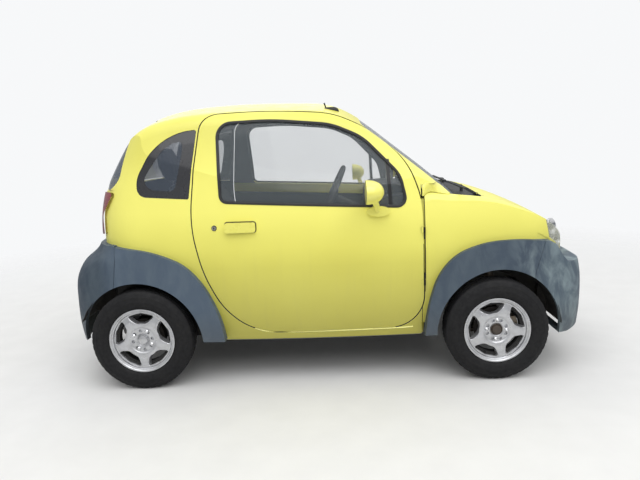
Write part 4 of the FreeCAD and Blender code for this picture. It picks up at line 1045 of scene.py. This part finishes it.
# Across a liner, from its inner lip out: y and how far it stands off the arch edge, in metres
LINER_SECTION = ((0.438, -0.06), (0.44, 0.002), (0.52, 0.003), (0.60, 0.003), (0.655, 0.003))
LINER_STEPS = 40
for end, (index, first, last) in LINERS.items():
    x, z, radius = (v / 1000 for v in ARCH_EDGES[index])
    for side, label in SIDES:
        vertices = []
        for k in range(LINER_STEPS + 1):
            angle = math.radians(first + (last - first) * k / LINER_STEPS)
            wave = 0.0012 * math.sin(k * 1.3)
            for y, lift in LINER_SECTION:
                reach = radius + lift + wave
                vertices.append((x + reach * math.cos(angle), side * y, z + reach * math.sin(angle)))
        liner = new_object("arch_liner_%s_%s" % (end, label), vertices,
                           grid_faces(LINER_STEPS + 1, len(LINER_SECTION)), DARK)
        liner.modifiers.new("wall", "SOLIDIFY").thickness = 0.002
        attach(liner, "root")


# Door window rubber, and outlines of the quarter window and its clear middle, in millimetres
DOOR_WINDOW = [(-526, 1338, 75), (-250, 1346, 1400), (50, 1315, 340), (205, 1247, 290), (385, 1057, 150),
               (420, 894, 45), (-511, 946, 38)]
QUARTER_WINDOW = [(-622, 1309, 12), (-722, 1302, 300), (-850, 1222, 300), (-938, 1075, 130), (-935, 984, 50),
                  (-668, 967, 10)]
QUARTER_CLEAR = [(-701, 1248), (-731, 1249), (-765, 1234), (-807, 1199), (-842, 1151), (-879, 1103),
                 (-894, 1070), (-886, 1041), (-857, 1020), (-813, 1013), (-761, 1011), (-735, 1029),
                 (-724, 1074), (-709, 1138), (-697, 1203)]
for side, label in SIDES:
    tree = tree_of("door_" + label, "door_glass_" + label)
    band("window_rubber_" + label, rounded(DOOR_WINDOW, 0.010),
         [(-0.0032, 0.0004), (-0.0026, 0.0022), (-0.0008, 0.0028), (0.0016, 0.0062), (0.0060, 0.0064),
          (0.0105, 0.0054), (0.0115, 0.0008)], side, tree, RUBBER, "door_%s_body" % label)


# Dark strip round the door handle, a real gap with painted shadow along it, and seal round the lock
HANDLE_OUTLINE = [(-491, 799, 14), (-334, 799, 14), (-334, 852, 14), (-491, 852, 14)]
LOCK_OUTLINE = [(-556, 812, 11.9), (-532, 812, 11.9), (-532, 836, 11.9), (-556, 836, 11.9)]
for side, label in SIDES:
    tree = tree_of("door_" + label)
    band("handle_shadow_gap_" + label, rounded(HANDLE_OUTLINE, 0.004),
         [(-0.0022, 0.0002), (-0.0016, 0.0006), (0.0016, 0.0006), (0.0030, 0.0002)], side, tree, RUBBER,
         "door_%s_body" % label)
    band("lock_seal_" + label, rounded(LOCK_OUTLINE, 0.003),
         [(-0.0016, 0.0002), (-0.0010, 0.0010), (0.0016, 0.0010), (0.0026, 0.0002)], side, tree, RUBBER,
         "door_%s_body" % label)


# Seats: padded pieces with rounded ends, raised bolsters and seams
# Columns: station along the pad (x, z), width, thickness, all in metres
CUSHION = [((-0.505, 0.452), 0.40, 0.150), ((-0.40, 0.450), 0.43, 0.150), ((-0.20, 0.456), 0.44, 0.150),
           ((-0.03, 0.462), 0.43, 0.150)]
BACK = [((-0.515, 0.505), 0.37, 0.105), ((-0.600, 0.660), 0.42, 0.115), ((-0.700, 0.860), 0.42, 0.110),
        ((-0.795, 1.035), 0.34, 0.085)]
HEADREST = [((-0.806, 1.046), 0.19, 0.070), ((-0.832, 1.130), 0.235, 0.085), ((-0.856, 1.215), 0.18, 0.060)]


def along(rows, t):
    """Place, width and thickness at a share of the way along a pad."""
    span = t * (len(rows) - 1)
    i = min(int(span), len(rows) - 2)
    f = span - i
    before, a, b, after = rows[max(i - 1, 0)], rows[i], rows[i + 1], rows[min(i + 2, len(rows) - 1)]

    x, z = (spline(before[0][k], a[0][k], b[0][k], after[0][k], f) for k in (0, 1))
    return x, z, a[1] + (b[1] - a[1]) * f, a[2] + (b[2] - a[2]) * f


def pad(name, rows, y_middle, bolster, seams, material):
    """Closed padded form swept along its stations, with seam grooves across and along it."""
    stations, around = 64, 72
    vertices = []
    for k in range(stations + 1):
        t = 0.5 - 0.5 * math.cos(math.pi * k / stations)
        x, z, width, thick = along(rows, t)
        x1, z1 = along(rows, max(0.0, t - 0.02))[:2]
        x2, z2 = along(rows, min(1.0, t + 0.02))[:2]
        way = Vector((x2 - x1, z2 - z1)).normalized()
        out = Vector((-way.y, way.x)) if way.x > 0.5 else Vector((way.y, -way.x))
        end = max(1e-4, (1 - abs(2 * t - 1) ** 5.0) ** (1 / 2.4))
        for j in range(around):
            a = 2 * math.pi * j / around
            u = math.copysign(abs(math.cos(a)) ** 0.62, math.cos(a))
            v = math.copysign(abs(math.sin(a)) ** 0.72, math.sin(a))
            y = u * width / 2 * (0.86 + 0.14 * end)
            n = v * thick / 2 * end
            if v > 0:
                n -= bolster * (1 - min(1.0, abs(u) / 0.72) ** 3) * end
                n -= 0.005 * math.exp(-((abs(u) - 0.66) / 0.020) ** 2) * end
                for seam in seams:
                    n -= 0.005 * math.exp(-((t - seam) / 0.008) ** 2) * (abs(u) < 0.66)
            elif abs(v) < 0.2:
                y *= 1 - 0.004
            n += 0.0012 * math.sin(23 * t + 3 * u) * math.sin(9 * u + 5 * t)
            vertices.append((x + out.x * n, y_middle + y * (0.05 + 0.95 * min(1.0, end * 1.6)), z + out.y * n))
    obj = solid(name, vertices, tube_faces(stations + 1, around), material)
    obj.data.shade_smooth()
    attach(obj, "root")
    return obj


# Post of a headrest: radius, y
POST = [(0.0, -0.002), (0.005, 0.0), (0.0055, 0.002), (0.0055, 0.115), (0.0, 0.116)]
POST_TURN = Matrix.Rotation(math.radians(-11.0), 4, "Y") @ Matrix.Rotation(math.radians(90), 4, "X")
SEAT_Y = 0.340
# Firm foam, an estimate
for side, label in SIDES:
    middle = side * SEAT_Y
    cushion = pad("seat_cushion_pad_" + label, CUSHION, middle, 0.014, (0.30, 0.62), SEAT)
    back = pad("seat_back_pad_" + label, BACK, middle, 0.014, (0.35, 0.66), SEAT)
    headrest = pad("headrest_pad_" + label, HEADREST, middle, 0.0, (), SEAT_SIDE)
    for dy in (-0.045, 0.045):
        post = turned("headrest_post_%s_%d" % (label, dy > 0), POST, 16, CHROME)
        post.matrix_world = Matrix.Translation((-0.796, middle + dy, 0.960)) @ POST_TURN
        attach(post, "root")
    for piece, node in ((back, "seat_back_"), (headrest, "seat_back_"), (cushion, "seat_cushion_")):
        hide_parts(node + label)


# Body-coloured filler between the pillar's foot, the windscreen's corner and the wing
# Columns: upper point and lower point of each station, in metres, on the right side
CORNER_FILLER = [
    ((0.4875, -0.6502, 0.9950), (0.4875, -0.6570, 0.9420)),
    ((0.4990, -0.6470, 1.0050), (0.4990, -0.6545, 0.9470)),
    ((0.5139, -0.6450, 1.0088), (0.5150, -0.6400, 0.9610)),
    ((0.5343, -0.6398, 1.0108), (0.5350, -0.6260, 0.9630)),
    ((0.5500, -0.6170, 1.0125), (0.5530, -0.6230, 0.9592)),
    ((0.5620, -0.5930, 1.0120), (0.5700, -0.6200, 0.9556)),
    ((0.5830, -0.5640, 0.9985), (0.5860, -0.6170, 0.9522)),
    ((0.6020, -0.5680, 0.9840), (0.6020, -0.6145, 0.9490)),
    ((0.6246, -0.5800, 0.9615), (0.6200, -0.6095, 0.9460)),
    ((0.6350, -0.5880, 0.9500), (0.6360, -0.6040, 0.9445)),
]
FILLER_ROWS = 8
for side, label in SIDES:
    vertices = []
    for upper, lower in CORNER_FILLER:
        for k in range(FILLER_ROWS + 1):
            t = k / FILLER_ROWS
            swell = 0.004 * math.sin(math.pi * t)
            x, y, z = (a + (b - a) * t for a, b in zip(upper, lower))
            vertices.append((x + swell * 0.2, -side * (y - swell * 0.7), z + swell * 0.6))
    filler = new_object("corner_filler_" + label, vertices,
                        grid_faces(len(CORNER_FILLER), FILLER_ROWS + 1), PAINT)
    smooth = filler.modifiers.new("smooth", "SUBSURF")
    smooth.levels = smooth.render_levels = 1
    wall = filler.modifiers.new("wall", "SOLIDIFY")
    wall.thickness = 0.0012
    wall.offset = 0.0
    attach(filler, "root")


# Rolled lip along the sill under the door, with a painted highlight on it
SILL_LIP = [(-372, 304), (-330, 288), (-280, 281), (-150, 277), (0, 277), (150, 278), (300, 279), (400, 280),
            (440, 283)]
# Across the lip, from its top down: how far below the line and how far off the skin, in metres
LIP_SECTION = ((0.0, 0.0004), (0.0012, 0.0024), (0.0036, 0.0030), (0.0058, 0.0018), (0.0066, 0.0002))
LIP_STEPS = 12
tree = tree_of("body_shell")
for side, label in SIDES:
    rows = []
    for (x0, z0), (x1, z1) in zip(SILL_LIP, SILL_LIP[1:]):
        for k in range(LIP_STEPS):
            x, z = (x0 + (x1 - x0) * k / LIP_STEPS) / 1000, (z0 + (z1 - z0) * k / LIP_STEPS) / 1000
            hits = [cast_side(tree, x, z - drop, side, lift) for drop, lift in LIP_SECTION]
            if all(hit is not None for hit in hits):
                rows.append(hits)
    vertices = [p for row in rows for p in row]
    faces = grid_faces(len(rows), len(LIP_SECTION))
    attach(new_object("sill_lip_" + label, vertices, faces, LIP_HIGHLIGHT_PAINT), "root")


# The tail lamps stand 14 mm proud of the body
bulge = NODES["tail_lamps"].modifiers.new("bulge", "DISPLACE")
bulge.strength = 0.014
bulge.mid_level = 0.0


# Headlamp reflectors and bulb caps, standing on the bowl behind the lens
# Columns: x, z and radius in metres
CUPS = [(1.186, 0.742, 0.042), (1.222, 0.668, 0.032)]
# Bulb cap and reflector: radius as a share of the cup's, y in metres
CAP_PROFILE = [(0.0, 0.0), (0.20, 0.0), (0.24, 0.004), (0.15, 0.010), (0.0, 0.012)]
CUP_PROFILE = [(0.22, -0.006), (0.50, -0.003), (0.80, 0.003), (0.96, 0.009), (1.0, 0.010), (1.05, 0.008),
               (1.05, -0.002)]
tree = tree_of("headlamp_bowls")
for side, label in SIDES:
    for k, (x, z, radius) in enumerate(CUPS):
        place = cast_side(tree, x, z, side)
        if place is None:
            continue
        facing = Vector((0.66, side * 0.72, 0.18)).normalized().to_track_quat("Y", "Z")
        for name, profile, segments, material in (("headlamp_cap", CAP_PROFILE, 32, BLACK),
                                                  ("headlamp_reflector", CUP_PROFILE, 40, CHROME)):
            piece = turned("%s_%s_%d" % (name, label, k), [(radius * share, y) for share, y in profile],
                           segments, material)
            piece.matrix_world = Matrix.Translation(place) @ facing.to_matrix().to_4x4()
            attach(piece, "root")


def quarter_border(label, side):
    """Black printed border between the quarter glass's edge and its clear middle."""
    tree = tree_of("quarter_glass")
    outer = offset_line(rounded(QUARTER_WINDOW, 0.008), 0.0014)
    middle = Vector((-0.800, 1.120))
    clear = [Vector((a / 1000, b / 1000)) for a, b in QUARTER_CLEAR]

    def reach(line, angle):
        """Distance from the middle to the outline in a direction."""
        way = Vector((math.cos(angle), math.sin(angle)))
        best = 0.0
        for p, q in zip(line, line[1:] + line[:1]):
            edge = q - p
            cross = way.x * edge.y - way.y * edge.x
            if abs(cross) < 1e-12:
                continue
            t = ((p.x - middle.x) * edge.y - (p.y - middle.y) * edge.x) / cross
            u = ((p.x - middle.x) * way.y - (p.y - middle.y) * way.x) / cross
            if t > 0 and 0 <= u <= 1:
                best = max(best, t)
        return best

    smooth = []
    for i, p in enumerate(clear):
        four = clear[i - 1], p, clear[(i + 1) % len(clear)], clear[(i + 2) % len(clear)]
        smooth += [spline(*four, k / 5) for k in range(5)]
    count = 160
    vertices, faces = [], []
    for k in range(count):
        angle = 2 * math.pi * k / count
        far, near = reach(outer, angle), reach(smooth, angle)
        for step in range(6):
            distance = near + (far - near) * step / 5
            x, z = middle.x + distance * math.cos(angle), middle.y + distance * math.sin(angle)
            place = cast_side(tree, x, z, side, 0.0006)
            if place is None:
                place = Vector(vertices[-1]) if vertices else Vector((0, 0, 0))
            vertices.append(tuple(place))
    for k in range(count):
        n = (k + 1) % count
        for step in range(5):
            faces.append((k * 6 + step, n * 6 + step, n * 6 + step + 1, k * 6 + step + 1))
    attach(new_object("quarter_border_" + label, vertices, faces, BORDER), "root")


for side, label in SIDES:
    quarter_border(label, side)


# Floor, lights and camera
def make_floor():
    """Pale floor that fades into the white background away from the car."""
    m = Mat("pale_floor")
    m.color(m.mix(m.noise(6.0, 4.0), rgb(208, 208, 207), rgb(218, 218, 217)))
    m.rough(m.uneven(0.68, 0.82, 15.0))
    m.grain(240.0, 0.1)
    m.link(m.spread(m.vector("LENGTH", m.coord), 2.2, 5.0, 1.0, 0.0), m.bsdf.inputs["Alpha"])
    return m.mat


floor_mesh = bpy.data.meshes.new("floor")
floor_mesh.from_pydata([(-14, -14, 0), (14, -14, 0), (14, 14, 0), (-14, 14, 0)], [], [(0, 1, 2, 3)])
floor = add_object("floor", floor_mesh)
floor_mesh.materials.append(make_floor())

world = bpy.data.worlds.new("studio")
bpy.context.scene.world = world
world.use_nodes = True
# A grey sky lights the car, and the camera sees a plain pale one
sky = Nodes(world.node_tree, "Generated")
background = sky.tree.nodes["Background"]
background.inputs["Strength"].default_value = 1.25
plain = sky.node("ShaderNodeBackground", Color=(0.93, 0.94, 0.95, 1.0), Strength=1.0)
shade = sky.mix(sky.spread(sky.axis("Z"), -0.15, 0.85), (0.14, 0.15, 0.16, 1.0), (1.0, 1.0, 1.0, 1.0))
path = sky.node("ShaderNodeLightPath")
seen = sky.math("MAXIMUM", path.outputs["Is Camera Ray"], path.outputs["Is Transmission Ray"])
mixer = sky.node("ShaderNodeMixShader")
for source, socket in (
        (shade, background.inputs["Color"]), (seen, mixer.inputs[0]), (background.outputs[0], mixer.inputs[1]),
        (plain.outputs[0], mixer.inputs[2]),
        (mixer.outputs[0], sky.tree.nodes["World Output"].inputs["Surface"])):
    sky.link(source, socket)


LIT = (0.0, 0.0, 0.7)


def area_light(name, place, size, energy):
    light = bpy.data.lights.new(name, "AREA")
    light.shape = "RECTANGLE"
    light.size, light.size_y = size
    light.energy = energy
    obj = add_object(name, light)
    obj.location = place
    obj.rotation_euler = (Vector(LIT) - Vector(place)).to_track_quat("-Z", "Y").to_euler()


area_light("top_soft", (0.3, -2.4, 4.6), (6.0, 3.0), 95)
area_light("camera_side", (1.6, -5.0, 4.2), (5.0, 2.5), 60)
area_light("far_side", (-1.5, 5.0, 3.2), (4.0, 3.0), 40)

# Camera solved from the photograph: focal length and width in pixels, place in metres, angles in degrees
FOCAL, IMAGE_WIDTH, SENSOR = 577.1, 640, 36.0
PLACE = (0.0397, -3.4924, 1.2522)
YAW_PITCH_ROLL = (-1.249, -10.17, -2.185)
camera = bpy.data.cameras.new("camera")
camera.sensor_width = SENSOR
camera.lens = FOCAL / IMAGE_WIDTH * SENSOR
viewer = add_object("camera", camera)
yaw, pitch, roll = (math.radians(a) for a in YAW_PITCH_ROLL)
ahead = Vector((math.sin(yaw) * math.cos(pitch), math.cos(yaw) * math.cos(pitch), math.sin(pitch)))
level = Vector((math.cos(yaw), -math.sin(yaw), 0))
above = level.cross(ahead)
right = level * math.cos(roll) + above * math.sin(roll)
upward = above * math.cos(roll) - level * math.sin(roll)
viewer.matrix_world = Matrix((
    (right.x, upward.x, -ahead.x, PLACE[0]),
    (right.y, upward.y, -ahead.y, PLACE[1]),
    (right.z, upward.z, -ahead.z, PLACE[2]),
    (0, 0, 0, 1)))
bpy.context.scene.camera = viewer
bpy.context.scene.view_settings.view_transform = "Standard"
